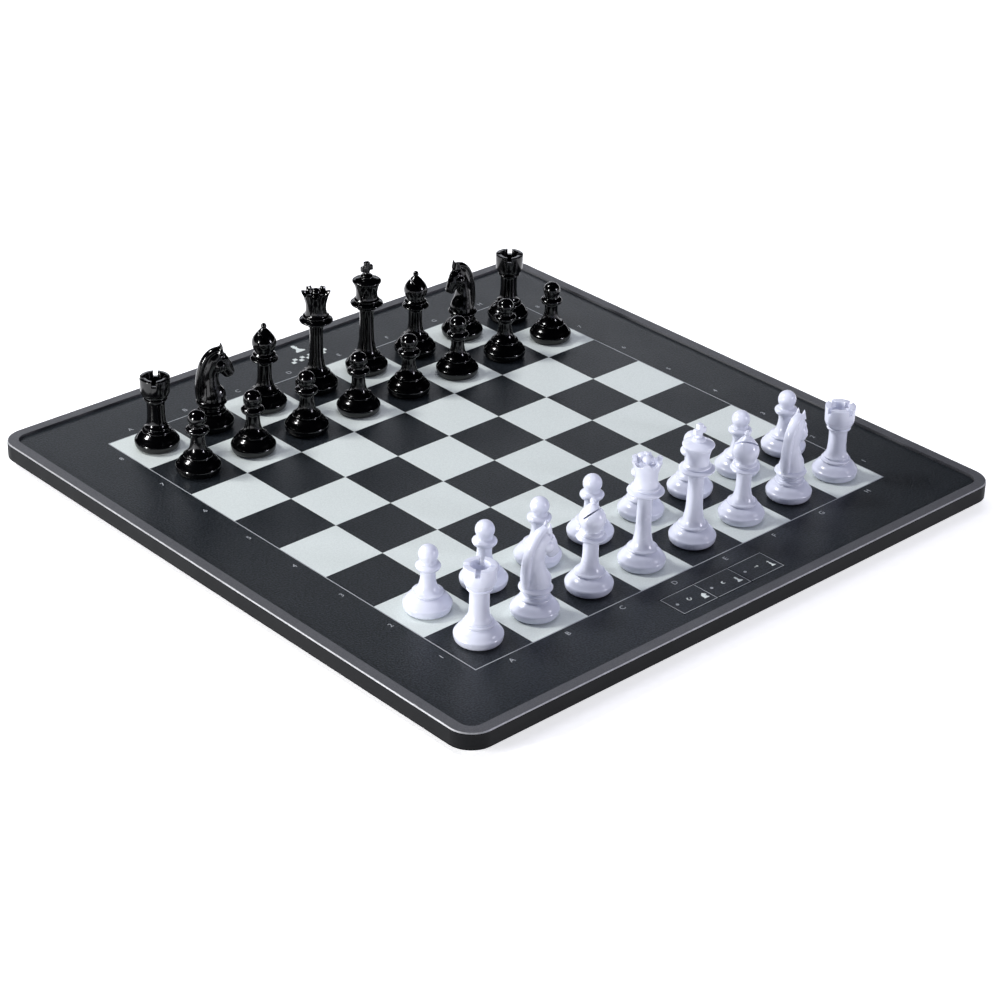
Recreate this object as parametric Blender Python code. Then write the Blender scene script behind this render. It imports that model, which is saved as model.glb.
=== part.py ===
"""Electronic chess computer: a thin sensor board with three function keys and a full set of men.

Frame: the origin is the middle of the board, on the plane that its feet stand on.  +X runs from
the a-file to the h-file, +Y from White's side to Black's, +Z is up.  Units are metres.
"""

from math import cos, pi, radians, sin, tau

import bmesh
import bpy
from mathutils import Matrix, Vector

MM = 0.001

# ---- driving dimensions
SQUARE = 35.5 * MM              # side of one square of the field
FILES = 8                       # squares along each side
CASE_SIDE = 367.0 * MM          # outside of the case
RIM_WIDTH = 6.0 * MM            # flat strip round the panel
CASE_RADIUS = 13.0 * MM         # outer corner radius in plan
PANEL_TOP = 13.0 * MM           # height of the playing surface
PANEL_THICKNESS = 2.4 * MM
RIM_RISE = 1.2 * MM             # how far the rim stands above the panel
GAP = 0.3 * MM                  # air left between touching pieces

# ---- case
WALL = 2.2 * MM                 # side wall of the bezel
WALL_FOOT = 5.6 * MM            # height of the side wall's lower edge
RIM_CHAMFER = 0.6 * MM
LEDGE_WIDTH = 6.0 * MM          # ledge that the panel rests on, inward from the opening
LEDGE_THICKNESS = 1.5 * MM
FLOOR_Z = 2.0 * MM              # underside of the tray
FLOOR_THICKNESS = 1.8 * MM
TAPER = 5.0 * MM                # how far the tray draws in towards its underside
LIP_THICKNESS = 1.8 * MM        # tray lip that stands inside the bezel's wall
LIP_RISE = 2.9 * MM             # how far the lip stands above the tray's shoulder
CORNER_STEPS = 5                # straight pieces in each rounded corner

# ---- ribs, screws and feet
RIB_PLACES = (-120 * MM, -60 * MM, 60 * MM, 120 * MM)
RIB_THICKNESS = 1.4 * MM
RIB_START, RIB_END = -140 * MM, 105 * MM
RIB_TOP = 8.4 * MM
BOSS_PLACE = 175.0 * MM         # distance of the screw line from the middle
BOSS_RADIUS = 3.0 * MM
BOSS_FOOT = FLOOR_Z + FLOOR_THICKNESS + GAP
SCREW_RADIUS = 1.2 * MM
SCREW_HEAD_RADIUS = 2.6 * MM
SCREW_HEAD_HEIGHT = 1.1 * MM
SCREW_TIP = 8.4 * MM
FOOT_RADIUS = 8.0 * MM
FOOT_PLACE = 152.0 * MM
SCREW_SIDES = 10
FOOT_SIDES = 20

# ---- function keys
KEY_GROUP_WIDTH = 2 * SQUARE    # cut-out for the three keys
KEY_GROUP_DEPTH = 17.2 * MM
KEY_GROUP_Y = -161.8 * MM       # middle of the cut-out
KEY_GAP = 0.4 * MM
KEY_NAMES = ("left", "middle", "right")
KEY_BOARD = (76 * MM, 18.4 * MM, 1.2 * MM)
KEY_BOARD_Z = 7.0 * MM
MAT_THICKNESS = 0.6 * MM
DOME_RISE = 0.6 * MM
DOME_RADIUS = 4.0 * MM
DOME_SIDES = 12

# ---- electronics
SENSOR_BOARD_SIDE = 292 * MM
BOARD_THICKNESS = 1.6 * MM
SENSOR_BOARD_Z = PANEL_TOP - PANEL_THICKNESS - GAP - BOARD_THICKNESS
CONTROLLER_SIZE = (84 * MM, 60 * MM, BOARD_THICKNESS)
CONTROLLER_CENTRE = (75 * MM, 147 * MM)
CONTROLLER_Z = 4.5 * MM
BATTERY_SIZE = (60 * MM, 90 * MM, 4.0 * MM)
BATTERY_CENTRE = (22 * MM, 10 * MM)
SPEAKER_RADIUS = 14 * MM
SPEAKER_HEIGHT = 4.0 * MM
SPEAKER_CENTRE = (-90 * MM, 140 * MM)
SPEAKER_SIDES = 24
GRILLE_SLOTS = 5
GRILLE_SLOT = (1.6 * MM, 16 * MM)
GRILLE_PITCH = 4.0 * MM
INNER_Z = FLOOR_Z + FLOOR_THICKNESS + GAP
RIBBON_CENTRE_X = -34 * MM
RIBBON_WIDTH = 12 * MM
RIBBON_THICKNESS = 0.3 * MM

# ---- ports in the back wall
PORT_RECESS = 0.2 * MM          # how far a port's face lies behind the wall's face
SOCKET_X = 58 * MM
SOCKET_SIZE = (8.9 * MM, 7.3 * MM, 3.2 * MM)
SOCKET_WALL = 0.35 * MM
SOCKET_Z = 8.1 * MM             # middle of the socket
SWITCH_X = 92 * MM
SWITCH_TRAVEL = 2.5 * MM
SWITCH_KNOB = (3.0 * MM, 5.0 * MM, 1.8 * MM)
SWITCH_BODY = (9.0 * MM, 4.5 * MM, 3.4 * MM)
SWITCH_Z = 8.1 * MM
PORT_CLEARANCE = 0.5 * MM
BAY_MARGIN = 12 * MM            # ledge and lip left out this far round the ports

# ---- chessmen: turned profiles as (radius, height) pairs in millimetres
MAN_SIDES = 12
MAN_GAP = GAP                   # air between a man's base and the panel
BASE = ((9.6, 0.0), (11.5, 2.4), (11.7, 4.6), (10.6, 7.0), (7.2, 8.9), (6.6, 10.2))
PAWN = ((4.8, 12.4), (3.9, 17.5), (4.1, 21.8), (5.7, 23.8), (4.2, 25.8), (4.8, 29.8), (3.3, 33.2),
        (0, 34.6))
ROOK = ((5.3, 14.0), (4.7, 20.0), (4.6, 25.0), (5.8, 26.6), (7.7, 31.5), (7.8, 40.0), (5.6, 40.0),
        (5.4, 36.5), (0, 36.5))
KNIGHT = ((6.2, 12.0), (7.0, 13.6), (6.4, 15.6), (0, 16.4))
BISHOP = ((4.8, 13.6), (3.9, 18.0), (3.8, 26.0), (7.2, 28.3), (5.9, 31.0), (5.1, 33.4), (6.5, 38.6),
          (4.6, 43.0), (1.2, 46.2), (1.4, 48.0), (0, 49.1))
QUEEN = ((4.9, 13.6), (3.9, 18.0), (3.5, 25.0), (3.8, 35.0), (4.9, 38.0), (9.0, 40.6), (6.9, 43.0),
         (5.6, 47.8), (7.0, 54.6), (4.6, 53.0), (2.2, 55.2), (2.2, 57.8), (0, 59.2))
KING = ((4.9, 13.6), (3.9, 18.0), (3.5, 25.0), (3.8, 35.0), (5.0, 38.0), (8.9, 40.4), (6.8, 42.6),
        (5.8, 47.4), (7.8, 53.4), (3.4, 55.4), (2.4, 57.6), (0, 58.0))
CREST_LIFT = 2.6 * MM           # rise of the queen's coronet tips above its notches
CREST_SPREAD = 0.7 * MM
CREST_RING = 14                 # index of the coronet ring in the queen's whole profile
CROSS_SPAN = 7.6 * MM
CROSS_ARM = 2.6 * MM
CROSS_DEPTH = 2.4 * MM
CROSS_FOOT, CROSS_ARM_Z, CROSS_TOP = 56.4 * MM, 60.5 * MM, 64.8 * MM
CRENEL_WIDTH = 2.2 * MM
CRENEL_DEPTH = 2.2 * MM
CRENEL_BARS = 2                 # bars across the crown, two notches each
SLIT_THICKNESS = 0.9 * MM
SLIT_TILT = radians(50)
HORSE = ((-6.6, 14.8), (-8.0, 17.0), (-8.1, 23.0), (-7.2, 29.0), (-5.2, 36.0), (-2.2, 41.5),
         (1.2, 44.6), (3.6, 46.9), (5.4, 44.2), (7.6, 38.6), (11.4, 30.2), (11.6, 26.6),
         (9.2, 24.2), (6.4, 25.0), (2.2, 30.0), (2.0, 25.6), (4.0, 21.0), (6.4, 18.2),
         (6.8, 15.8), (5.4, 14.4))
HORSE_HALF_WIDTH = (5.6, 3.3)   # at the chest and at the head, in millimetres
HORSE_WIDTH_HEIGHTS = (16.0, 32.0)
BACK_RANK = ("rook", "knight", "bishop", "queen", "king", "bishop", "knight", "rook")
KNIGHT_HEADINGS = {"b1": 0, "g1": 15, "b8": 0, "g8": 180}

HALF = CASE_SIDE / 2
OPENING = HALF - RIM_WIDTH      # half the opening in the rim
RIM_TOP = PANEL_TOP + RIM_RISE
OPENING_RADIUS = CASE_RADIUS - RIM_WIDTH
SHOULDER_Z = WALL_FOOT - GAP    # top of the tray's tapered side
LEDGE_TOP = PANEL_TOP - PANEL_THICKNESS - GAP
LEDGE_FOOT = LEDGE_TOP - LEDGE_THICKNESS


def clear_scene():
    for thing in list(bpy.data.objects):
        bpy.data.objects.remove(thing, do_unlink=True)


def material(name, colour, roughness, metallic=0.0):
    """Principled material for one piece."""
    made = bpy.data.materials.new(name)
    made.use_nodes = True
    shader = made.node_tree.nodes["Principled BSDF"]
    shader.inputs["Base Color"].default_value = (*colour, 1.0)
    shader.inputs["Roughness"].default_value = roughness
    shader.inputs["Metallic"].default_value = metallic
    return made


def add_object(name, shape, finish, smooth=False):
    """Turn a bmesh into a named object with its own material."""
    bmesh.ops.recalc_face_normals(shape, faces=shape.faces)
    mesh = bpy.data.meshes.new(name)
    shape.to_mesh(mesh)
    shape.free()
    if smooth:
        mesh.shade_smooth()
        mesh.set_sharp_from_angle(angle=radians(40))
    mesh.materials.append(material(name, *finish))
    thing = bpy.data.objects.new(name, mesh)
    bpy.context.collection.objects.link(thing)
    return thing


def add_tool(name, shape):
    """An object that only shapes another one through a Boolean."""
    tool = add_object(name, shape, ((0.8, 0.1, 0.1), 0.5))
    tool.hide_render = True
    tool.display_type = "WIRE"
    return tool


def combine(target, tool, operation):
    step = target.modifiers.new(operation.lower() + "_" + tool.name, "BOOLEAN")
    step.object = tool
    step.operation = operation
    step.solver = "EXACT"


def loft(shape, rings, closed=False):
    """Skin a row of rings of equal length; the ends are capped unless the row is closed."""
    rows = [[shape.verts.new(point) for point in ring] for ring in rings]
    count = len(rows[0])
    pairs = list(zip(rows, rows[1:]))
    if closed:
        pairs.append((rows[-1], rows[0]))
    for low, high in pairs:
        for index in range(count):
            after = (index + 1) % count
            shape.faces.new((low[index], low[after], high[after], high[index]))
    if not closed:
        shape.faces.new(list(reversed(rows[0])))
        shape.faces.new(rows[-1])


def rounded_square(half, radius, height):
    """Points of a square of half side `half` with rounded corners, counter-clockwise."""
    points = []
    for corner in range(4):
        middle = Vector((half - radius, half - radius, height))
        turn = Matrix.Rotation(corner * pi / 2, 4, "Z")
        for step in range(CORNER_STEPS + 1):
            angle = step * pi / 2 / CORNER_STEPS
            points.append(turn @ (middle + Vector((radius * cos(angle), radius * sin(angle), 0))))
    return points


def inset_ring(inset, height):
    """Outline of the case drawn in by `inset`, with its corner radius drawn in as well."""
    return rounded_square(HALF - inset, CASE_RADIUS - inset, height)


def add_box(shape, centre, size, turn=None):
    """Box of a given size about its centre, turned by an optional matrix about that centre."""
    place = Matrix.Translation(centre) @ (turn or Matrix())
    bmesh.ops.create_cube(shape, size=1.0, matrix=place @ Matrix.Diagonal((*size, 1)))


def add_rod(shape, x, y, radii, heights, sides):
    """Upright turned rod: one radius for each height."""
    rings = []
    for radius, height in zip(radii, heights):
        angles = [tau * side / sides for side in range(sides)]
        rings.append([(x + radius * cos(angle), y + radius * sin(angle), height) for angle in angles])
    loft(shape, rings)


def plate(name, centre, size, foot, finish):
    """Plain flat piece: centre in plan, size, and the height of its underside."""
    shape = bmesh.new()
    add_box(shape, (*centre, foot + size[2] / 2), size)
    return add_object(name, shape, finish)


def screw_places():
    """Four corners and four mid-sides of the screw line; the corners lie on the case's diagonals."""
    corner = BOSS_PLACE - 2 * MM
    places = [(sx * corner, sy * corner) for sx in (-1, 1) for sy in (-1, 1)]
    places += [(-BOSS_PLACE, 0), (BOSS_PLACE, 0), (0, -BOSS_PLACE), (0, BOSS_PLACE)]
    return places


# ---- case
BLACK_PLASTIC = ((0.035, 0.037, 0.040), 0.45)


def port_centre_x():
    return (SOCKET_X + SWITCH_X) / 2


def port_width():
    return SWITCH_X - SOCKET_X + 2 * BAY_MARGIN


def top_bezel():
    """Frame with the raised rim, the side wall, the ledge for the panel and the screw bosses."""
    section = (
        (0, WALL_FOOT), (0, RIM_TOP - RIM_CHAMFER), (RIM_CHAMFER, RIM_TOP), (RIM_WIDTH, RIM_TOP),
        (RIM_WIDTH, LEDGE_TOP), (RIM_WIDTH + LEDGE_WIDTH, LEDGE_TOP), (RIM_WIDTH + LEDGE_WIDTH, LEDGE_FOOT),
        (WALL, LEDGE_FOOT), (WALL, WALL_FOOT),
    )
    shape = bmesh.new()
    loft(shape, [inset_ring(inset, height) for inset, height in section], closed=True)
    bezel = add_object("top_bezel", shape, BLACK_PLASTIC)

    bosses = bmesh.new()
    bores = bmesh.new()
    for x, y in screw_places():
        add_rod(bosses, x, y, (BOSS_RADIUS,) * 2, (BOSS_FOOT, LEDGE_TOP - GAP), SCREW_SIDES)
        add_rod(bores, x, y, (SCREW_RADIUS + GAP,) * 2, (BOSS_FOOT - MM, SCREW_TIP + GAP), SCREW_SIDES)
    combine(bezel, add_tool("tool_bosses", bosses), "UNION")
    combine(bezel, add_tool("tool_boss_bores", bores), "DIFFERENCE")

    bay = bmesh.new()
    inner = HALF - WALL
    depth = RIM_WIDTH + LEDGE_WIDTH - WALL + 2 * MM
    bay_size = (port_width(), depth, 2 * (LEDGE_TOP - LEDGE_FOOT))
    add_box(bay, (port_centre_x(), inner - depth / 2, LEDGE_FOOT), bay_size)
    combine(bezel, add_tool("tool_port_bay", bay), "DIFFERENCE")

    mouths = bmesh.new()
    socket = (SOCKET_SIZE[0] + PORT_CLEARANCE, 4 * WALL, SOCKET_SIZE[2] + PORT_CLEARANCE)
    add_box(mouths, (SOCKET_X, HALF, SOCKET_Z), socket)
    slot_length = SWITCH_KNOB[0] + SWITCH_TRAVEL + 2 * PORT_CLEARANCE
    knob = (slot_length, 4 * WALL, SWITCH_KNOB[2] + 2 * PORT_CLEARANCE)
    add_box(mouths, (SWITCH_X + SWITCH_TRAVEL / 2, HALF, SWITCH_Z), knob)
    combine(bezel, add_tool("tool_port_mouths", mouths), "DIFFERENCE")


def bottom_shell():
    """Tray with a tapered side, a lip inside the bezel, stiffening ribs and speaker slots."""
    lip_outside = WALL + GAP
    lip_inside = lip_outside + LIP_THICKNESS
    floor_top = FLOOR_Z + FLOOR_THICKNESS
    rings = [
        inset_ring(TAPER, FLOOR_Z), inset_ring(0, SHOULDER_Z), inset_ring(lip_outside, SHOULDER_Z),
        inset_ring(lip_outside, SHOULDER_Z + LIP_RISE), inset_ring(lip_inside, SHOULDER_Z + LIP_RISE),
        inset_ring(lip_inside, floor_top + 1.2 * MM), inset_ring(lip_inside + 1.2 * MM, floor_top),
    ]
    shape = bmesh.new()
    loft(shape, rings)
    tray = add_object("bottom_shell", shape, BLACK_PLASTIC)

    ribs = bmesh.new()
    middle = (RIB_START + RIB_END) / 2
    height = RIB_TOP - FLOOR_Z - FLOOR_THICKNESS / 2
    for x in RIB_PLACES:
        add_box(ribs, (x, middle, RIB_TOP - height / 2), (RIB_THICKNESS, RIB_END - RIB_START, height))
    combine(tray, add_tool("tool_ribs", ribs), "UNION")

    cuts = bmesh.new()
    for x, y in screw_places():
        add_rod(cuts, x, y, (SCREW_RADIUS + GAP,) * 2, (0, 2 * floor_top), SCREW_SIDES)
    for slot in range(GRILLE_SLOTS):
        x = SPEAKER_CENTRE[0] + (slot - (GRILLE_SLOTS - 1) / 2) * GRILLE_PITCH
        add_box(cuts, (x, SPEAKER_CENTRE[1], floor_top), (*GRILLE_SLOT, 2 * floor_top))
    lip_gap = (port_width(), 4 * LIP_THICKNESS, 2 * LIP_RISE)
    add_box(cuts, (port_centre_x(), HALF - lip_inside, SHOULDER_Z + GAP + LIP_RISE), lip_gap)
    combine(tray, add_tool("tool_tray_cuts", cuts), "DIFFERENCE")


def play_panel():
    """Sheet that carries the printed field, with one cut-out for the three keys."""
    side = OPENING - GAP
    heights = (PANEL_TOP - PANEL_THICKNESS, PANEL_TOP)
    rings = [rounded_square(side, OPENING_RADIUS, height) for height in heights]
    shape = bmesh.new()
    loft(shape, rings)
    panel = add_object("play_panel", shape, ((0.055, 0.058, 0.062), 0.5))
    cut = bmesh.new()
    add_box(cut, (0, KEY_GROUP_Y, PANEL_TOP), (KEY_GROUP_WIDTH, KEY_GROUP_DEPTH, 4 * PANEL_THICKNESS))
    combine(panel, add_tool("tool_key_cutout", cut), "DIFFERENCE")


def case_screws():
    for number, (x, y) in enumerate(screw_places(), start=1):
        head_top = FLOOR_Z - GAP
        radii = (SCREW_HEAD_RADIUS * 0.7, SCREW_HEAD_RADIUS, SCREW_HEAD_RADIUS, SCREW_RADIUS, SCREW_RADIUS)
        head_foot = head_top - SCREW_HEAD_HEIGHT
        heights = (head_foot, head_foot + SCREW_HEAD_HEIGHT * 0.4, head_top, head_top, SCREW_TIP)
        shape = bmesh.new()
        add_rod(shape, x, y, radii, heights, SCREW_SIDES)
        add_object(f"case_screw_{number}", shape, ((0.42, 0.42, 0.44), 0.3, 1.0), smooth=True)


def rubber_feet():
    names = ("front_left", "front_right", "back_left", "back_right")
    places = ((-1, -1), (1, -1), (-1, 1), (1, 1))
    for name, (sx, sy) in zip(names, places):
        radii = (FOOT_RADIUS - 0.6 * MM, FOOT_RADIUS, FOOT_RADIUS)
        heights = (0, 0.6 * MM, FLOOR_Z - GAP)
        shape = bmesh.new()
        add_rod(shape, sx * FOOT_PLACE, sy * FOOT_PLACE, radii, heights, FOOT_SIDES)
        add_object("rubber_foot_" + name, shape, ((0.02, 0.02, 0.02), 0.85), smooth=True)


# ---- keys and electronics
CIRCUIT_GREEN = ((0.02, 0.16, 0.07), 0.4)


def key_pitch():
    return (KEY_GROUP_WIDTH - KEY_GAP) / len(KEY_NAMES)


def key_centre_x(index):
    return (index - (len(KEY_NAMES) - 1) / 2) * key_pitch()


def function_keys():
    """Three flush keys side by side in the panel's cut-out."""
    size = (key_pitch() - KEY_GAP, KEY_GROUP_DEPTH - 2 * KEY_GAP, PANEL_THICKNESS)
    for index, name in enumerate(KEY_NAMES):
        centre = (key_centre_x(index), KEY_GROUP_Y)
        foot = PANEL_TOP - PANEL_THICKNESS
        plate("function_key_" + name, centre, size, foot, ((0.055, 0.058, 0.062), 0.5))


def key_switch_mat():
    """Rubber sheet with one dome under each key, drawn pressed down so that the keys can travel."""
    foot = KEY_BOARD_Z + KEY_BOARD[2] + GAP
    shape = bmesh.new()
    add_box(shape, (0, KEY_GROUP_Y, foot + MAT_THICKNESS / 2), (KEY_BOARD[0], KEY_BOARD[1], MAT_THICKNESS))
    mat = add_object("key_switch_mat", shape, ((0.55, 0.56, 0.58), 0.7))
    domes = bmesh.new()
    for index in range(len(KEY_NAMES)):
        heights = (foot + MAT_THICKNESS / 2, foot + MAT_THICKNESS, foot + MAT_THICKNESS + DOME_RISE)
        radii = (DOME_RADIUS, DOME_RADIUS, DOME_RADIUS * 0.7)
        add_rod(domes, key_centre_x(index), KEY_GROUP_Y, radii, heights, DOME_SIDES)
    combine(mat, add_tool("tool_domes", domes), "UNION")


def circuit_boards():
    sensor = (SENSOR_BOARD_SIDE, SENSOR_BOARD_SIDE, BOARD_THICKNESS)
    plate("sensor_board", (0, 0), sensor, SENSOR_BOARD_Z, CIRCUIT_GREEN)
    plate("controller_board", CONTROLLER_CENTRE, CONTROLLER_SIZE, CONTROLLER_Z, CIRCUIT_GREEN)
    plate("key_board", (0, KEY_GROUP_Y), KEY_BOARD, KEY_BOARD_Z, CIRCUIT_GREEN)


def battery_pack():
    shape = bmesh.new()
    width, length, height = BATTERY_SIZE
    centre = (*BATTERY_CENTRE, INNER_Z + height / 2)
    add_box(shape, centre, BATTERY_SIZE)
    pack = add_object("battery_pack", shape, ((0.30, 0.31, 0.33), 0.35))
    edges = pack.modifiers.new("rounded_edges", "BEVEL")
    edges.width = 1.2 * MM
    edges.segments = 2


def speaker():
    x, y = SPEAKER_CENTRE
    radii = (SPEAKER_RADIUS, SPEAKER_RADIUS, SPEAKER_RADIUS * 0.6, SPEAKER_RADIUS * 0.6)
    step = INNER_Z + SPEAKER_HEIGHT * 0.4
    heights = (INNER_Z, step, step, INNER_Z + SPEAKER_HEIGHT)
    shape = bmesh.new()
    add_rod(shape, x, y, radii, heights, SPEAKER_SIDES)
    add_object("speaker", shape, ((0.12, 0.12, 0.13), 0.5), smooth=True)


def ribbon_cable():
    """Flat cable from the key board to the controller board, lying on the tray's floor."""
    start = KEY_GROUP_Y + KEY_BOARD[1] / 2 + GAP
    end = CONTROLLER_CENTRE[1]
    foot = INNER_Z
    reach = CONTROLLER_CENTRE[0] - CONTROLLER_SIZE[0] / 2 - GAP
    left = RIBBON_CENTRE_X - RIBBON_WIDTH / 2
    right = RIBBON_CENTRE_X + RIBBON_WIDTH / 2
    turn = end - RIBBON_WIDTH
    outline = ((left, start), (right, start), (right, turn), (reach, turn), (reach, end), (left, end))
    shape = bmesh.new()
    loft(shape, [[(x, y, height) for x, y in outline] for height in (foot, foot + RIBBON_THICKNESS)])
    add_object("ribbon_cable", shape, ((0.60, 0.61, 0.62), 0.6))


def charging_socket():
    """Steel shell with an open mouth and a contact tongue inside."""
    width, depth, height = SOCKET_SIZE
    front = HALF - PORT_RECESS
    shape = bmesh.new()
    add_box(shape, (SOCKET_X, front - depth / 2, SOCKET_Z), SOCKET_SIZE)
    socket = add_object("charging_socket", shape, ((0.62, 0.62, 0.64), 0.25, 1.0))
    hollow = bmesh.new()
    hollow_size = (width - 2 * SOCKET_WALL, 2 * (depth - 1.5 * MM), height - 2 * SOCKET_WALL)
    add_box(hollow, (SOCKET_X, front, SOCKET_Z), hollow_size)
    combine(socket, add_tool("tool_socket_hollow", hollow), "DIFFERENCE")
    tongue = bmesh.new()
    tongue_depth = depth - 1.2 * MM
    tongue_centre = (SOCKET_X, front - 0.8 * MM - tongue_depth / 2, SOCKET_Z)
    add_box(tongue, tongue_centre, (6.4 * MM, tongue_depth, 0.7 * MM))
    combine(socket, add_tool("tool_socket_tongue", tongue), "UNION")


def power_switch():
    """Slide switch: a body on the controller board and a knob that slides along +X to switch on."""
    front = HALF - PORT_RECESS
    board_top = CONTROLLER_Z + BOARD_THICKNESS
    shape = bmesh.new()
    body_y = CONTROLLER_CENTRE[1] + CONTROLLER_SIZE[1] / 2 - SWITCH_BODY[1] / 2 - 1 * MM
    body_z = board_top + GAP + SWITCH_BODY[2] / 2
    add_box(shape, (SWITCH_X + SWITCH_TRAVEL / 2, body_y, body_z), SWITCH_BODY)
    add_object("power_switch_body", shape, ((0.50, 0.50, 0.52), 0.35, 0.9))
    knob = bmesh.new()
    add_box(knob, (SWITCH_X, front - SWITCH_KNOB[1] / 2, SWITCH_Z), SWITCH_KNOB)
    add_object("power_switch_slider", knob, ((0.03, 0.03, 0.03), 0.5))


# ---- chessmen
WHITE_PLASTIC = ((0.80, 0.80, 0.84), 0.25)
JET_PLASTIC = ((0.008, 0.008, 0.010), 0.12)


def square_centre(square):
    """Middle of a square such as e4, in the plane of the panel."""
    column = "abcdefgh".index(square[0]) - (FILES - 1) / 2
    row = int(square[1]) - (FILES + 1) / 2
    return Vector((column * SQUARE, row * SQUARE, PANEL_TOP + MAN_GAP))


def turned(profile):
    """Solid of revolution whose profile ends on the axis."""
    shape = bmesh.new()
    rings = [[shape.verts.new((radius * MM * cos(tau * side / MAN_SIDES),
                               radius * MM * sin(tau * side / MAN_SIDES), height * MM))
              for side in range(MAN_SIDES)] for radius, height in profile[:-1]]
    tip = shape.verts.new((0, 0, profile[-1][1] * MM))
    for low, high in zip(rings, rings[1:]):
        for side in range(MAN_SIDES):
            after = (side + 1) % MAN_SIDES
            shape.faces.new((low[side], low[after], high[after], high[side]))
    shape.faces.new(list(reversed(rings[0])))
    for side in range(MAN_SIDES):
        shape.faces.new((rings[-1][side], rings[-1][(side + 1) % MAN_SIDES], tip))
    return shape, rings


def crenel_tool():
    """Bars that notch the rook's crown."""
    bars = bmesh.new()
    top = 40.0 * MM
    for bar in range(CRENEL_BARS):
        turn = Matrix.Rotation(bar * pi / CRENEL_BARS, 4, "Z")
        add_box(bars, (0, 0, top), (24 * MM, CRENEL_WIDTH, 2 * CRENEL_DEPTH), turn)
    return bars


def slit_tool():
    """Slanted saw cut in the bishop's mitre, open on one side only."""
    cut = bmesh.new()
    turn = Matrix.Rotation(-SLIT_TILT, 4, "Y")
    add_box(cut, (5.4 * MM, 0, 42.4 * MM), (10 * MM, 20 * MM, SLIT_THICKNESS), turn)
    return cut


def cross_tool():
    """Upright cross that crowns the king, its arms along X."""
    half_arm = CROSS_ARM / 2
    span = CROSS_SPAN / 2
    quarter = [(half_arm, CROSS_FOOT), (half_arm, CROSS_ARM_Z - half_arm), (span, CROSS_ARM_Z - half_arm),
               (span, CROSS_ARM_Z + half_arm), (half_arm, CROSS_ARM_Z + half_arm), (half_arm, CROSS_TOP)]
    outline = quarter + [(-x, z) for x, z in reversed(quarter)]
    shape = bmesh.new()
    loft(shape, [[(x, y, z) for x, z in outline] for y in (-CROSS_DEPTH / 2, CROSS_DEPTH / 2)])
    return shape


def horse_tool():
    """Horse's head and chest facing +X, wider at the chest than at the head."""
    low, high = HORSE_WIDTH_HEIGHTS
    wide, narrow = HORSE_HALF_WIDTH
    left, right = [], []
    for forward, height in HORSE:
        share = min(max((height - low) / (high - low), 0), 1)
        half = wide + (narrow - wide) * share
        left.append((forward * MM, half * MM, height * MM))
        right.append((forward * MM, -half * MM, height * MM))
    shape = bmesh.new()
    loft(shape, [left, right])
    bmesh.ops.triangulate(shape, faces=[face for face in shape.faces if len(face.verts) > 4])
    return shape


PROFILES = {"pawn": PAWN, "rook": ROOK, "knight": KNIGHT, "bishop": BISHOP, "queen": QUEEN, "king": KING}
FINISHERS = {
    "rook": (crenel_tool, "DIFFERENCE"), "bishop": (slit_tool, "DIFFERENCE"),
    "king": (cross_tool, "UNION"), "knight": (horse_tool, "UNION"),
}


def chessman(colour, kind, square, heading):
    """One man on its square; the tool that finishes its head stands at the same place."""
    shape, rings = turned(BASE + PROFILES[kind])
    if kind == "queen":
        for vert in rings[CREST_RING][::2]:
            outward = Vector((vert.co.x, vert.co.y, 0)).normalized()
            vert.co += outward * CREST_SPREAD + Vector((0, 0, CREST_LIFT))
    finish = WHITE_PLASTIC if colour == "white" else JET_PLASTIC
    name = f"{colour}_{kind}_{square}"
    place = Matrix.Translation(square_centre(square)) @ Matrix.Rotation(radians(heading), 4, "Z")
    man = add_object(name, shape, finish, smooth=True)
    man.matrix_world = place
    if kind in FINISHERS:
        make_tool, operation = FINISHERS[kind]
        tool = add_tool("tool_" + name, make_tool())
        tool.matrix_world = place
        combine(man, tool, operation)


def chess_set():
    for colour, back_row, pawn_row in (("white", 1, 2), ("black", 8, 7)):
        for column, kind in zip("abcdefgh", BACK_RANK):
            square = f"{column}{back_row}"
            chessman(colour, kind, square, KNIGHT_HEADINGS.get(square, 0))
            chessman(colour, "pawn", f"{column}{pawn_row}", 0)


def main():
    clear_scene()
    top_bezel()
    bottom_shell()
    play_panel()
    case_screws()
    rubber_feet()
    function_keys()
    key_switch_mat()
    circuit_boards()
    battery_pack()
    speaker()
    ribbon_cable()
    charging_socket()
    power_switch()
    chess_set()


main()
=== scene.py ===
"""Looks of an electronic chess computer: case, printed field, keys and chessmen round the CAD frame."""

from cmath import exp
from math import atan, ceil, cos, hypot, pi, radians, sin

import bpy
from mathutils import Euler, Matrix, Vector


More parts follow.
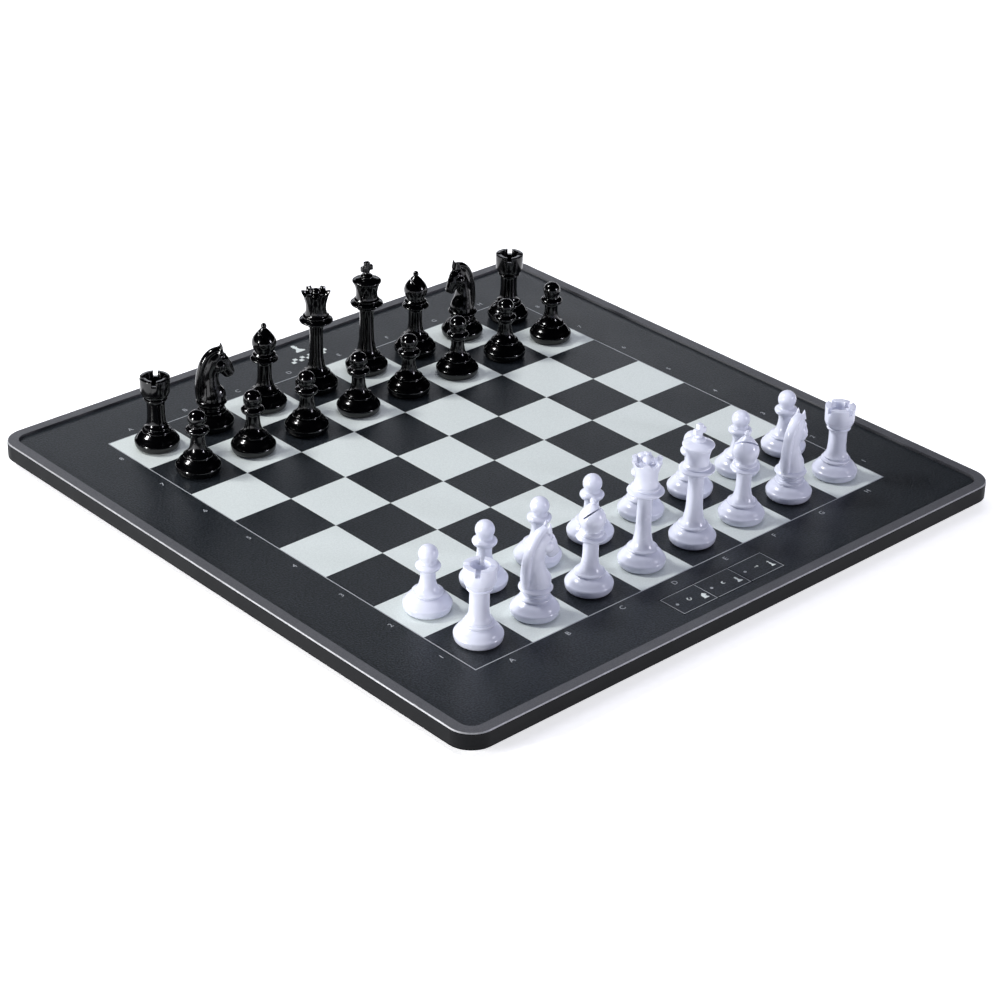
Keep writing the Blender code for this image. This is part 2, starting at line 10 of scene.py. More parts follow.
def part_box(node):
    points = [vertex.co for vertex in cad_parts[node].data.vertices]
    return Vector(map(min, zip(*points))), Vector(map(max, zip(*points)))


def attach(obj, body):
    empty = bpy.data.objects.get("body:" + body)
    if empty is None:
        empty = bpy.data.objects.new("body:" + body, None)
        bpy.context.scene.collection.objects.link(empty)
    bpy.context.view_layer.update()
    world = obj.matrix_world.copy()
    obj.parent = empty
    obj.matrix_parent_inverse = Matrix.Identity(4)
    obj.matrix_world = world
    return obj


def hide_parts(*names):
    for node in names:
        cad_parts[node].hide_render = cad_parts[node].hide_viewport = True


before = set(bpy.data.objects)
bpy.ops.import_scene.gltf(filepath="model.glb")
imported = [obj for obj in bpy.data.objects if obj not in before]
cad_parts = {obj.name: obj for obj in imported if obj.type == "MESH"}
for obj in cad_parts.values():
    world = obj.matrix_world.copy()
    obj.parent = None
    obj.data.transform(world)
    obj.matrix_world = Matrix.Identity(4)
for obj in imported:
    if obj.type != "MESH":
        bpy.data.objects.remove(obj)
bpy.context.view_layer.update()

bl_info = {
    "name": "Electronic Chess Computer",
    "version": (1, 0, 0),
    "blender": (4, 5, 0),
    "location": "3D View > Sidebar > Chess Computer",
    "description": "Builds the case, the printed field, the keys and the chessmen round the CAD frame",
    "category": "Object",
}

MM = 0.001

# ---- measures read from the frame


def box_centre(node):
    low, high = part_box(node)
    return (low + high) / 2


CASE_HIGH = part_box("top_bezel")[1]
TRAY_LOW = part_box("bottom_shell")[0]
PANEL_LOW, PANEL_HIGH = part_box("play_panel")
HALF = CASE_HIGH.x
RIM_TOP = CASE_HIGH.z
PANEL_TOP = PANEL_HIGH.z
SQUARE = (box_centre("white_pawn_h2").x - box_centre("white_pawn_a2").x) / 7
MAN_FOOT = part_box("white_pawn_a2")[0].z
FILES = "abcdefgh"
KEYS = ("left", "middle", "right")
FEET = ("front_left", "front_right", "back_left", "back_right")
SCREWS = tuple(f"case_screw_{number}" for number in range(1, 9))

# ---- measures of the case, in metres
WALL_FOOT = 5.6 * MM
WALL = 2.2 * MM
RIM_WIDTH = 6.0 * MM
RIM_CHAMFER = 0.5 * MM
CASE_RADIUS = 13.0 * MM
LEDGE_WIDTH = 6.0 * MM
LEDGE_TOP = PANEL_LOW.z - 0.3 * MM
LEDGE_FOOT = LEDGE_TOP - 1.5 * MM
TRAY_TAPER = 5.0 * MM
SHOULDER = 5.3 * MM
TRAY_FLOOR_TOP = 3.8 * MM
LIP = {"gap": 0.3 * MM, "rise": 2.9 * MM, "width": 1.8 * MM}
SPEAKER_SLOT = {"count": 5, "pitch": 4 * MM, "size": (1.6 * MM, 16 * MM, 8 * MM), "end_radius": 0.79 * MM}
RECESS = {"place": (0, -20 * MM), "size": (90 * MM, 50 * MM, 0.6 * MM), "corner": 4 * MM}
SCREW_HOLE_RADIUS = 1.5 * MM
SWITCH_TRAVEL = 2.5 * MM
KEY_GAP = 0.4 * MM
SMALL_ROUND = 0.15 * MM               # edges of the panel and the keys
CORNER_STEPS = 14
PRINT_RISE = 0.05 * MM
ARC_STEP = radians(14)
MAN_SIDES = 64

# ---- outlines of the chessmen: (radius, height, bow) in millimetres. The bow is 0 for a straight stretch,
# above 0 for an arc that swells outwards and below 0 for a hollow one.
FOOT_OUTLINE = (
    (10.0, 0, 0), (11.5, 1.7, 0.25), (11.75, 3.2, 0.08), (11.1, 4.9, 0.35), (7.3, 8.6, 0.2),
    (7.1, 8.8, 0), (7.6, 9.2, 0.3), (7.3, 10.2, 0.4), (6.4, 10.5, 0),
)
PAWN_OUTLINE = (
    *FOOT_OUTLINE, (4.1, 14.6, -0.18), (3.6, 18.6, -0.06), (3.8, 21.2, -0.03), (5.0, 21.9, -0.3),
    (5.9, 22.9, 0.2), (5.6, 24.6, 0.4), (4.3, 25.3, 0.15), (4.0, 26.3, -0.3), (3.9, 26.9, 0),
    (0, 34.6, 0.6),
)
ROOK_OUTLINE = (
    *FOOT_OUTLINE, (6.2, 10.8, 0), (6.3, 11.9, 0.4), (5.9, 12.2, 0), (4.9, 16.0, -0.14),
    (4.7, 20.0, -0.05), (4.7, 24.5, 0), (5.1, 26.8, -0.1), (5.9, 27.3, 0), (6.0, 28.2, 0.6),
    (5.6, 28.5, 0), (7.3, 31.2, 0.25), (7.6, 31.5, 0), (7.9, 39.8, 0), (4.7, 39.8, 0), (4.3, 34.9, 0),
    (0, 34.3, -0.1),
)
BISHOP_OUTLINE = (
    *FOOT_OUTLINE, (4.3, 15.0, -0.16), (3.85, 19.0, -0.05), (3.8, 25.2, 0), (6.7, 28.0, -0.3),
    (7.3, 28.3, 0), (7.2, 29.0, 0.5), (5.5, 29.9, 0.1), (5.9, 30.5, 0), (5.9, 31.7, 0.6),
    (5.1, 32.4, 0.1), (5.1, 33.5, -0.1), (6.6, 38.4, 0.14), (4.5, 42.8, 0.16), (1.4, 46.2, 0.06),
    (1.2, 46.6, -0.3), (1.5, 47.7, 0.35), (0, 49.1, 0.42),
)
QUEEN_OUTLINE = (
    *FOOT_OUTLINE, (4.6, 14.8, -0.16), (3.85, 20.5, -0.06), (3.7, 27.0, 0), (3.8, 37.2, -0.03),
    (4.9, 37.6, 0), (4.9, 38.6, 0.6), (4.6, 38.8, 0), (8.4, 40.1, -0.25), (9.0, 40.3, 0),
    (8.8, 41.2, 0.5), (6.7, 42.2, 0.1), (7.1, 42.6, 0), (6.9, 43.6, 0.5), (6.1, 44.1, 0),
    (5.5, 47.7, -0.06), (6.5, 53.6, -0.1), (7.9, 57.4, -0.06), (5.6, 57.6, 0.1), (4.6, 54.2, 0),
    (2.6, 55.0, 0.1), (2.1, 55.6, -0.3), (2.4, 57.4, 0.3), (0, 59.1, 0.36),
)
KING_OUTLINE = (
    *FOOT_OUTLINE, (4.9, 14.8, -0.16), (4.15, 20.5, -0.06), (4.0, 28.0, 0), (4.1, 36.6, -0.03),
    (5.2, 37.1, 0), (5.2, 38.1, 0.6), (4.8, 38.4, 0), (8.2, 39.8, -0.25), (8.8, 40.0, 0),
    (8.7, 40.9, 0.5), (6.5, 41.5, 0.1), (6.9, 42.0, 0.2), (6.7, 43.2, 0.4), (6.1, 43.7, 0),
    (5.85, 47.2, -0.05), (6.9, 51.6, -0.06), (7.1, 51.9, 0), (7.1, 52.5, 0), (7.8, 52.9, 0),
    (7.7, 54.0, 0.4), (3.6, 55.5, 0.12), (3.4, 55.7, 0), (3.3, 56.5, 0.4), (2.0, 57.4, 0.3),
    (1.5, 58.2, -0.2), (0, 58.4, 0),
)
KNIGHT_OUTLINE = (
    *FOOT_OUTLINE, (6.2, 11.4, -0.2), (6.6, 11.7, 0), (6.6, 12.6, 0.7), (6.2, 12.9, 0), (6.4, 13.6, -0.3),
    (7.8, 14.2, -0.1), (8.0, 15.2, 0.6), (6.8, 16.2, 0.2), (0, 16.6, 0),
)
# The horse's parts: (forward, height, radius) along the middle of each, and its width for its depth.
HORSE_PARTS = {
    "neck": (((0.3, 15.4, 6.8), (0.2, 18.5, 6.3), (-0.6, 23.0, 5.2), (-0.7, 28.0, 4.8), (0.4, 33.5, 4.9),
              (2.6, 38.4, 4.8), (4.8, 41.4, 3.8)), 0.74),
    "mane": (((-6.0, 15.2, 1.7), (-6.6, 20.0, 1.9), (-6.4, 26.0, 1.9), (-5.3, 32.5, 1.9), (-3.0, 38.6, 1.9),
              (0.8, 42.8, 1.8), (4.8, 44.4, 1.5)), 1.4),
    "shoulders": (((0.6, 15.4, 6.9), (0.6, 17.6, 6.6), (0.3, 21.0, 5.6), (-0.1, 25.5, 4.5), (0.1, 30.0, 3.6)),
                  1.0),
    "chest": (((2.4, 15.8, 4.6), (3.2, 18.2, 4.7), (2.0, 21.6, 4.0), (0.4, 25.0, 3.2)), 1.1),
    "head": (((4.6, 41.2, 3.5), (5.4, 37.6, 4.7), (7.4, 34.0, 4.4), (9.0, 31.4, 3.6), (9.8, 29.8, 3.2),
              (10.4, 28.6, 2.2)), 0.66),
}
HORSE_SPOTS = (
    # forward, sideways, height, radius
    (4.9, 1.5, 35.4, 3.4),    # cheek
    (6.8, 2.4, 39.0, 1.0),    # eye
    (11.3, 1.4, 30.6, 0.8),   # nostril
)
EAR = {"forward": 5.8, "sideways": 1.7, "foot": 42.2, "tip": 47.4, "radius": 1.7, "tip_radius": 0.25,
       "tilt": radians(8)}
HORSE_VOXEL = 0.38 * MM

ROOK_NOTCHES = 4
ROOK_NOTCH = {"width": 2.4, "length": 6.0, "depth": 2.9, "middle": 6.6}
QUEEN_TIPS = 6
CORONET_NOTCH = {"radius": 2.5, "length": 5.0, "middle": 7.0, "above": 0.5}
SLIT = {"thickness": 0.8, "length": 12.0, "middle": 3.2, "height": 44.2, "tilt": radians(43)}
CROSS = {"arm": 2.7, "depth": 2.7, "span": 7.4, "middle": 60.8, "top": 64.6, "foot": 57.6, "flare": 1.2,
         "rounding": 0.6}
PAD = {"radius": 9.25, "foot_radius": 9.1, "buried": 0.02, "sides": 48}

# How each man stands on its square, turned about its own axis.
TURNS = {
    "b1": -5, "g1": 12, "b8": -28, "g8": 180, "a1": 40, "h1": 85, "h8": 46, "a8": 50, "d1": 43, "d8": 21,
    "c1": 194, "f1": 130, "c8": 60, "f8": 60,
}

# ---- the print, in millimetres
BORDER_WIDTH = 0.5
LETTER_SIZE = 4.2
LETTER_ROW = 5.0                      # from the field's edge to the middle of the letters
DIGIT_COLUMN_LEFT = 4.8
DIGIT_COLUMN_RIGHT = 6.1
BACK_ROW_EXTRA = 1.2                  # the letters at the back stand this much farther out
KEY_LINE = 0.3
KEY_LINE_INSET = 0.16
LED_RADIUS = 0.8
LED_X, SMALL_ICON_X, BOLD_ICON_X = -7.8, 0.2, 7.8
BOLD_ICON_HEIGHT = 4.6
BOLD_ICON_FOOT = -4.6
MARK_PLACE = (4.5, 165.0)
MARK_HEIGHT = 9.0
STRIP_PLACE = (-9.0, 155.0)
STRIP_CELL = 2.6
STRIP_CELLS = 10
STRIP_GAP = 0.2


# ---- settings that a user would change


def srgb(text):
    """Linear red, green, blue and alpha of a colour written as sRGB hex."""
    parts = [int(text[start:start + 2], 16) / 255 for start in (1, 3, 5)]
    return (*[part / 12.92 if part <= 0.04045 else ((part + 0.055) / 1.055) ** 2.4 for part in parts], 1.0)


def length(name, description, default):
    return bpy.props.FloatProperty(name=name, description=description, default=default, min=0, unit="LENGTH")


def colour(name, description, text):
    return bpy.props.FloatVectorProperty(
        name=name, description=description, default=srgb(text), size=4, min=0, max=1, subtype="COLOR")


class ChessComputerSizes(bpy.types.PropertyGroup):
    edge_round: length("Edge rounding", "Radius of the moulded edges of the case", 0.25 * MM)
    print_rise: length("Print thickness", "How far the printed layer stands above the panel", PRINT_RISE)
    pad_rise: length("Pad thickness", "Thickness of the felt under each man", 0.22 * MM)
    men_round: length("Men rounding", "Radius of the small edges of the turned men", 0.16 * MM)


class ChessComputerColours(bpy.types.PropertyGroup):
    rim: colour("Rim", "Spark-textured top of the rim", "#515255")
    # The case colour is near black partly as painted shade: the upright wall is darker than the rim top by
    # how light falls on it. The switch knob shares it.
    case: colour("Case", "Smooth side wall", "#0e0f11")
    tray: colour("Tray", "Spark-textured underside", "#26272a")
    # The chamfer's pale colour is a painted highlight: a thin bright line drawn along the case's edge.
    chamfer: colour("Chamfer", "Polished edge line round the case", "#c8c9cc")
    panel: colour("Panel", "Hard-coated playing panel and dark squares", "#1b1f23")
    light: colour("Light squares", "Printed light squares", "#d5dcd8")
    marks: colour("Marks", "Printed lines, letters and pictures", "#a4a8ab")
    white: colour("White men", "Light chessmen", "#d9dcea")
    black: colour("Black men", "Dark chessmen", "#020203")
    felt: colour("Felt", "Pads under the men", "#20302a")


# ---- modelling helpers


def deselect_all():
    for obj in bpy.context.selected_objects:
        obj.select_set(False)


def activate(obj):
    deselect_all()
    obj.select_set(True)
    bpy.context.view_layer.objects.active = obj


def leave_edit():
    bpy.ops.object.mode_set(mode="OBJECT")


def named(name):
    """The object just added, with its name."""
    obj = bpy.context.active_object
    obj.name = name
    obj.data.name = name
    return obj


def choose(obj, kind, wanted):
    """Go into edit mode with only the vertices, edges or polygons selected that wanted() accepts."""
    if bpy.context.mode == "OBJECT":
        activate(obj)
    leave_edit()
    mesh = obj.data
    kinds = ("vertices", "edges", "polygons")
    for group in kinds:
        parts = getattr(mesh, group)
        parts.foreach_set("select", [False] * len(parts))
    bpy.context.tool_settings.mesh_select_mode = [kind == group for group in kinds]
    found = 0
    for part in getattr(mesh, kind):
        part.select = bool(wanted(part))
        found += part.select
    if not found:
        raise RuntimeError(f"{obj.name}: none of its {kind} is where it was expected")
    bpy.ops.object.mode_set(mode="EDIT")


def add_modifier(obj, kind, **settings):
    """Add a modifier and apply it."""
    if bpy.context.mode != "OBJECT":
        leave_edit()
    activate(obj)
    modifier = obj.modifiers.new(kind.title(), kind)
    for name, value in settings.items():
        setattr(modifier, name, value)
    bpy.ops.object.modifier_apply(modifier=modifier.name)


def combine(obj, tool, operation="DIFFERENCE"):
    add_modifier(obj, "BOOLEAN", object=tool, operation=operation, solver="EXACT")
    bpy.data.objects.remove(tool, do_unlink=True)


def round_edges(obj, width, segments=2, angle=radians(32)):
    add_modifier(obj, "BEVEL", width=width, segments=segments, limit_method="ANGLE", angle_limit=angle,
                 harden_normals=False, miter_outer="MITER_ARC")


def clean(obj, distance=1e-6):
    """Merge doubles, close what is open and turn the faces outwards."""
    activate(obj)
    bpy.ops.object.mode_set(mode="EDIT")
    bpy.ops.mesh.select_all(action="SELECT")
    bpy.ops.mesh.remove_doubles(threshold=distance)
    bpy.ops.mesh.fill_holes(sides=0)
    bpy.ops.mesh.normals_make_consistent(inside=False)
    leave_edit()


def ends(obj, edge):
    return [obj.data.vertices[index].co for index in edge.vertices]


def along_y(obj, edge):
    a, b = ends(obj, edge)
    return abs(a.x - b.x) < 1e-6 and abs(a.z - b.z) < 1e-6


def upright(obj, edge):
    a, b = ends(obj, edge)
    return abs(a.x - b.x) < 1e-6 and abs(a.y - b.y) < 1e-6


def bevel_some(obj, wanted, offset, segments):
    """Bevel the edges that wanted() accepts."""
    choose(obj, "edges", lambda edge: wanted(obj, edge))
    bpy.ops.mesh.bevel(offset=offset, segments=segments, affect="EDGES")
    leave_edit()


def smooth(obj, angle=radians(35)):
    activate(obj)
    bpy.ops.object.shade_smooth_by_angle(angle=angle)


def smooth_flats(obj):
    """Smooth shading that leaves the large flat faces truly flat between their rounded edges."""
    smooth(obj)
    add_modifier(obj, "WEIGHTED_NORMAL", mode="FACE_AREA", weight=50, keep_sharp=True)


def join(first, others):
    activate(first)
    for other in others:
        other.select_set(True)
    bpy.ops.object.join()
    return first


def move_mesh(obj, place=(0, 0, 0), turn=(0, 0, 0), scale=(1, 1, 1)):
    """Place an object by its mesh, so that the object itself stays at the origin."""
    obj.data.transform(Matrix.LocRotScale(Vector(place), Euler(turn), Vector(scale)))
    obj.data.update()


def settle(obj):
    """Bring the object's own place, turn and scale into its mesh."""
    activate(obj)
    bpy.ops.object.transform_apply(location=True, rotation=True, scale=True)


def finish_piece(obj, body, materials, replaced=(), zone=None):
    """Give a finished piece its body, the CAD nodes that it stands for and its materials.

    Where it has several materials, zone() says which of them a face takes.
    """
    if not isinstance(materials, tuple):
        materials = (materials,)
    obj.data.materials.clear()
    for material in materials:
        obj.data.materials.append(material)
    if zone:
        for face in obj.data.polygons:
            face.material_index = zone(face)
    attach(obj, body)
    if replaced:
        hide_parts(*replaced)
    return obj


def add_primitive(kind, name, **settings):
    """A primitive, with its place brought into its mesh."""
    deselect_all()
    getattr(bpy.ops.mesh, f"primitive_{kind}_add")(**settings)
    obj = named(name)
    settle(obj)
    return obj


def add_block(name, centre, size, round_by=0.0, segments=3):
    """A block at its place: a cube, scaled, its edges bevelled."""
    deselect_all()
    bpy.ops.mesh.primitive_cube_add(size=1, location=centre)
    block = named(name)
    block.scale = size
    settle(block)
    if round_by:
        bpy.ops.object.mode_set(mode="EDIT")
        bpy.ops.mesh.select_all(action="SELECT")
        bpy.ops.mesh.bevel(offset=round_by, segments=segments, affect="EDGES")
        leave_edit()
    return block


def rounded_face(name, half, radius, height, steps=CORNER_STEPS):
    """One flat square face with round corners, left in edit mode with that face selected."""
    face = add_primitive("plane", name, size=2 * half, location=(0, 0, height))
    bpy.ops.object.mode_set(mode="EDIT")
    bpy.ops.mesh.select_all(action="SELECT")
    bpy.ops.mesh.bevel(offset=radius, segments=steps, affect="VERTICES")
    choose(face, "polygons", lambda part: True)
    return face


def extrude_faces(up, right=0, back=0):
    bpy.ops.mesh.extrude_region_move(TRANSFORM_OT_translate={"value": (right, back, up)})


def arc_outline(outline):
    """(radius, height) of every ring of an outline, its arcs divided into short steps."""
    points = [complex(outline[0][0], outline[0][1])]
    for radius, height, bow in outline[1:]:
        start, end = points[-1], complex(radius, height)
        if not bow:
            points.append(end)
            continue
        chord = abs(end - start)
        sweep = 4 * atan(bow)
        outward = (end - start) / chord * -1j
        centre = (start + end) / 2 - outward * chord / 2 * cos(sweep / 2) / sin(sweep / 2)
        steps = max(2, ceil(abs(sweep) / ARC_STEP))
        for step in range(1, steps):
            points.append(centre + (start - centre) * exp(1j * sweep * step / steps))
        points.append(end)
    return [(point.real, point.imag) for point in points]


def turned(name, outline, sides=MAN_SIDES):
    """A closed turned shape: a ring of points, extruded and scaled from ring to ring of its outline."""
    rings = arc_outline(outline)
    radius, height = rings[0]
    obj = add_primitive("circle", name, vertices=sides, radius=radius * MM)
    bpy.ops.object.mode_set(mode="EDIT")
    bpy.ops.mesh.select_mode(type="EDGE")
    bpy.ops.mesh.select_all(action="SELECT")
    bpy.ops.transform.translate(value=(0, 0, height * MM))
    for next_radius, next_height in rings[1:]:
        bpy.ops.mesh.extrude_edges_move(TRANSFORM_OT_translate={"value": (0, 0, (next_height - height) * MM)})
        factor = max(next_radius, 0.001) / radius
        bpy.ops.transform.resize(value=(factor, factor, 1), center_override=(0, 0, next_height * MM))
        radius, height = max(next_radius, 0.001), next_height
    leave_edit()
    clean(obj, 2e-6)
    return obj


def flat_print(name, outlines, place, thickness):
    """A thin printed shape from flat outlines in millimetres. An outline inside another is a hole in it."""
    curve = bpy.data.curves.new(name, "CURVE")
    curve.dimensions = "2D"
    curve.fill_mode = "BOTH"
    curve.extrude = thickness / 2
    for outline in outlines:
        spline = curve.splines.new("POLY")
        spline.points.add(len(outline) - 1)
        for point, (x, y) in zip(spline.points, outline):
            point.co = (x * MM, y * MM, 0, 1)
        spline.use_cyclic_u = True
    obj = bpy.data.objects.new(name, curve)
    bpy.context.collection.objects.link(obj)
    activate(obj)
    bpy.ops.object.convert(target="MESH")
    obj = bpy.context.active_object
    move_mesh(obj, (place[0], place[1], PANEL_TOP + thickness / 2))
    clean(obj, 1e-7)
    return obj


def print_on_panel(name, outlines, ink):
    piece = flat_print(name, outlines, (0, 0), sizes().print_rise)
    finish_piece(piece, "board", ink)


# ---- outlines of the small pictures


def circle_outline(radius, centre=(0, 0), steps=28):
    return [(centre[0] + radius * cos(2 * pi * step / steps), centre[1] + radius * sin(2 * pi * step / steps))
            for step in range(steps)]


def rectangle(left, bottom, right, top):
    return [(left, bottom), (right, bottom), (right, top), (left, top)]


def frame_lines(half_x, half_y, inner_x, inner_y):
    """Two rectangles about the origin, the inner one a hole in the outer one."""
    return [rectangle(-x, -y, x, y) for x, y in ((half_x, half_y), (inner_x, inner_y))]


def man_silhouette(outline, height, x, y):
    """Both sides of a man's outline, scaled to a height, as a flat picture."""
    rings = arc_outline(outline)
    factor = height / max(ring[1] for ring in rings)
    right = [(x + ring[0] * factor, y + ring[1] * factor) for ring in rings if ring[0] > 0.2]
    left = [(2 * x - px, py) for px, py in reversed(right)]
    return right + left


def king_picture(height, x, y):
    part = height / 8
    body = man_silhouette(PAWN_OUTLINE, height * 0.72, x, y)
    return [body, rectangle(x - part * 0.35, y + height * 0.74, x + part * 0.35, y + height),
            rectangle(x - part * 1.1, y + height * 0.84, x - part * 0.4, y + height * 0.92),
            rectangle(x + part * 0.4, y + height * 0.84, x + part * 1.1, y + height * 0.92)]


def knight_picture(height, x, y):
    """A plain horse's head on a foot."""
    shape = ((-0.34, 0), (0.34, 0), (0.34, 0.12), (0.24, 0.16), (0.2, 0.34), (0.1, 0.5), (0.34, 0.46),
             (0.42, 0.58), (0.26, 0.82), (0.14, 1.0), (0.06, 0.88), (-0.16, 0.76), (-0.28, 0.5),
             (-0.26, 0.16), (-0.34, 0.12))
    return [[(x + px * height, y + py * height) for px, py in shape]]


def turning_arrow(radius, x, y):
    """Three quarters of a ring that ends in an arrow head."""
    inner = radius * 0.72
    angles = [radians(120 + 22.5 * step) for step in range(13)]
    ring = [(x + radius * cos(a), y + radius * sin(a)) for a in angles]
    ring += [(x + inner * cos(a), y + inner * sin(a)) for a in reversed(angles)]
    tip = radians(120)
    head = [(x + reach * radius * cos(tip + turn), y + reach * radius * sin(tip + turn))
            for reach, turn in ((0.4, 0), (0.86, -0.62), (1.4, 0))]
    return [ring, head]


def crescent(radius, x, y):
    """A moon: the larger part of one circle, less a smaller circle beside its middle."""
    outer = [(cos(radians(angle)), sin(radians(angle))) for angle in range(50, 330, 20)]
    inner = [(0.45 + 0.72 * cos(radians(angle)), 0.72 * sin(radians(angle)) - 0.02)
             for angle in range(288, 68, -20)]
    return [[(x + px * radius, y + py * radius) for px, py in outer + inner]]


def side_arrow(size, x, y):
    shape = ((-1, -0.12), (0.3, -0.12), (0.3, -0.6), (1, 0), (0.3, 0.6), (0.3, 0.12), (-1, 0.12))
    return [[(x + px * size, y + py * size) for px, py in shape]]


# ---- materials


def add_node(tree, kind, properties=None, sockets=None, links=None):
    """Add a shader node, set its properties and sockets, and link its inputs from other nodes' outputs."""
    made = tree.nodes.new("ShaderNode" + kind)
    for name, value in (properties or {}).items():
        setattr(made, name, value)
    for socket, value in (sockets or {}).items():
        made.inputs[socket].default_value = value
    for socket, source in (links or {}).items():
        tree.links.new(source, made.inputs[socket])
    return made


def new_material(name, **values):
    """A material with its shader's constant sockets set, as (material, tree, shader, object coordinates)."""
    material = bpy.data.materials.new(name)
    material.use_nodes = True
    tree = material.node_tree
    shader = tree.nodes["Principled BSDF"]
    for socket, value in values.items():
        shader.inputs[socket.replace("_", " ")].default_value = value
    coordinates = add_node(tree, "TexCoord").outputs["Object"]
    return material, tree, shader, coordinates


def per_metre(size):
    """Texture scale for a pattern whose grains are this many millimetres apart."""
    return 1 / (size * MM)


def shade_between(tree, shader, factor, dark, light, low=0.35, high=0.65, socket="Base Color"):
    """Let a pattern choose between two colours."""
    ramp = add_node(tree, "ValToRGB", links={"Fac": factor})
    ramp.color_ramp.elements[0].position = low
    ramp.color_ramp.elements[1].position = high
    ramp.color_ramp.elements[0].color = dark
    ramp.color_ramp.elements[1].color = light
    tree.links.new(ramp.outputs["Color"], shader.inputs[socket])
    return ramp


def raise_by(tree, shader, height, strength, depth):
    """Let a pattern stand out from the surface, by a depth in millimetres."""
    bump = add_node(tree, "Bump", sockets={"Strength": strength, "Distance": depth * MM},
                    links={"Height": height})
    tree.links.new(bump.outputs["Normal"], shader.inputs["Normal"])


def grain(tree, shader, coordinates, size, depth, strength=1.0, detail=2.0):
    """Fine bumps of a real size and depth, in millimetres, and their height as an output."""
    noise = add_node(tree, "TexNoise", sockets={"Scale": per_metre(size), "Detail": detail},
                     links={"Vector": coordinates})
    raise_by(tree, shader, noise.outputs["Fac"], strength, depth)
    return noise.outputs["Fac"]


def gloss_patches(tree, shader, coordinates, size, low, high):
    """Roughness that wanders a little, as handling and the mould leave it."""
    noise = add_node(tree, "TexNoise", sockets={"Scale": per_metre(size), "Detail": 3.0},
                     links={"Vector": coordinates})
    spread = add_node(tree, "MapRange", links={"Value": noise.outputs["Fac"]},
                      sockets={"From Min": 0.3, "From Max": 0.7, "To Min": low, "To Max": high})
    tree.links.new(spread.outputs["Result"], shader.inputs["Roughness"])


def mixed(colour_value, factor):
    return (*[part * factor for part in colour_value[:3]], 1.0)


def grained(name, bumps, dark, light, gloss=None, spread=(0.35, 0.65), **values):
    """A material whose grain also chooses between two colours.

    bumps are the grain's size and depth in millimetres, its strength and its detail. gloss is the size of the
    patches in millimetres and their lowest and highest roughness.
    """
    material, tree, shader, place = new_material(name, **values)
    height = grain(tree, shader, place, *bumps)
    shade_between(tree, shader, height, dark, light, *spread)
    if gloss:
        gloss_patches(tree, shader, place, *gloss)
    return material


def textured_abs(colour_value):
    """Moulded ABS with a spark-eroded mould: a dull grey-black skin with a fine even grain."""
    return grained("Textured_ABS", (0.5, 0.035, 0.8), mixed(colour_value, 0.82), mixed(colour_value, 1.15),
                   (14, 0.42, 0.54), IOR=1.53)


def smooth_abs_with_painted_shade(colour_value):
    """ABS from a finely stoned mould, near black: partly the case's dark plastic, partly painted shade on the
    upright wall, with a soft sheen on the side wall.
    """
    return grained("Smooth_moulded_ABS", (0.8, 0.01, 0.4), mixed(colour_value, 0.85),
                   mixed(colour_value, 1.1), (20, 0.44, 0.52), IOR=1.53, Specular_IOR_Level=0.08)


def chamfer_with_painted_highlight(colour_value):
    """Painted highlight: the chamfer is coloured pale, with a metallic gloss, so that it shows as a thin
    bright line.
    """
    return grained("Polished_cut_edge", (1.2, 0.01, 0.4), mixed(colour_value, 0.8), colour_value,
                   (12, 0.34, 0.42), IOR=1.53, Metallic=0.6)


def hard_coat(colour_value):
    """Screen-printed sheet under a satin hard coat: dark, with a soft wide gleam and a faint sandy grain.

    The real grain is finer than 0.3 mm; it is drawn at 1 mm so that it shows.
    """
    return grained("Hard_coated_print_sheet", (1.0, 0.12, 1.0, 3.0), mixed(colour_value, 0.4),
                   mixed(colour_value, 1.9), (30, 0.34, 0.4), (0.4, 0.6), IOR=1.5)


def printed_ink(name, colour_value, roughness):
    """Screen-print ink: flat and opaque, a little uneven where the mesh of the screen let it through."""
    return grained(name, (0.7, 0.012, 0.5), mixed(colour_value, 0.94), mixed(colour_value, 1.03),
                   IOR=1.48, Roughness=roughness)


def polished_styrene(name, colour_value, low, high, depth, index):
    """Polystyrene from a polished mould: very glossy, with the faint waviness of moulded plastic."""
    return grained(name, (5.0, depth, 0.35, 1.0), mixed(colour_value, 0.97), colour_value, (6, low, high),
                   IOR=index)


def felt(colour_value):
    """Glued wool felt: matt, with short fibres that catch the light at the edge."""
    return grained("Wool_felt", (0.4, 0.15, 1.0, 6.0), mixed(colour_value, 0.6), mixed(colour_value, 1.3),
                   Roughness=0.95, IOR=1.45, Sheen_Weight=0.5, Sheen_Roughness=0.6)


def moulded_rubber():
    """Moulded rubber: near black and dull, dusty in its grain."""
    return grained("Moulded_rubber", (0.6, 0.05, 0.9, 4.0), srgb("#131313"), srgb("#262626"),
                   (3, 0.72, 0.9), IOR=1.52)


def plated_steel(name, base, size=0.25):
    """Zinc or nickel plated steel: bright metal with the fine streaks of rolling and turning."""
    material, tree, shader, place = new_material(name, Metallic=1.0)
    stretch = add_node(tree, "Mapping", sockets={"Scale": (1.0, 1.0, 12.0)}, links={"Vector": place})
    height = grain(tree, shader, stretch.outputs["Vector"], size, 0.01, 0.5, 3.0)
    shade_between(tree, shader, height, mixed(base, 0.8), base)
    gloss_patches(tree, shader, place, 2, 0.22, 0.38)
    return material


def solder_mask():
    """Circuit board: glossy green mask over straight copper tracks, which show as paler lines."""
    material, tree, shader, place = new_material("Solder_masked_circuit_board", IOR=1.55, Roughness=0.3)
    tracks = add_node(tree, "TexBrick", {"offset": 0.5, "squash": 1.0},
                      {"Scale": per_metre(12), "Mortar Size": 0.035, "Mortar Smooth": 0.2, "Bias": 0.0,
                       "Color1": srgb("#0d4a28"), "Color2": srgb("#0f5230"), "Mortar": srgb("#2f8a52")},
                      {"Vector": place})
    tree.links.new(tracks.outputs["Color"], shader.inputs["Base Color"])
    raise_by(tree, shader, tracks.outputs["Fac"], 0.6, 0.03)
    return material


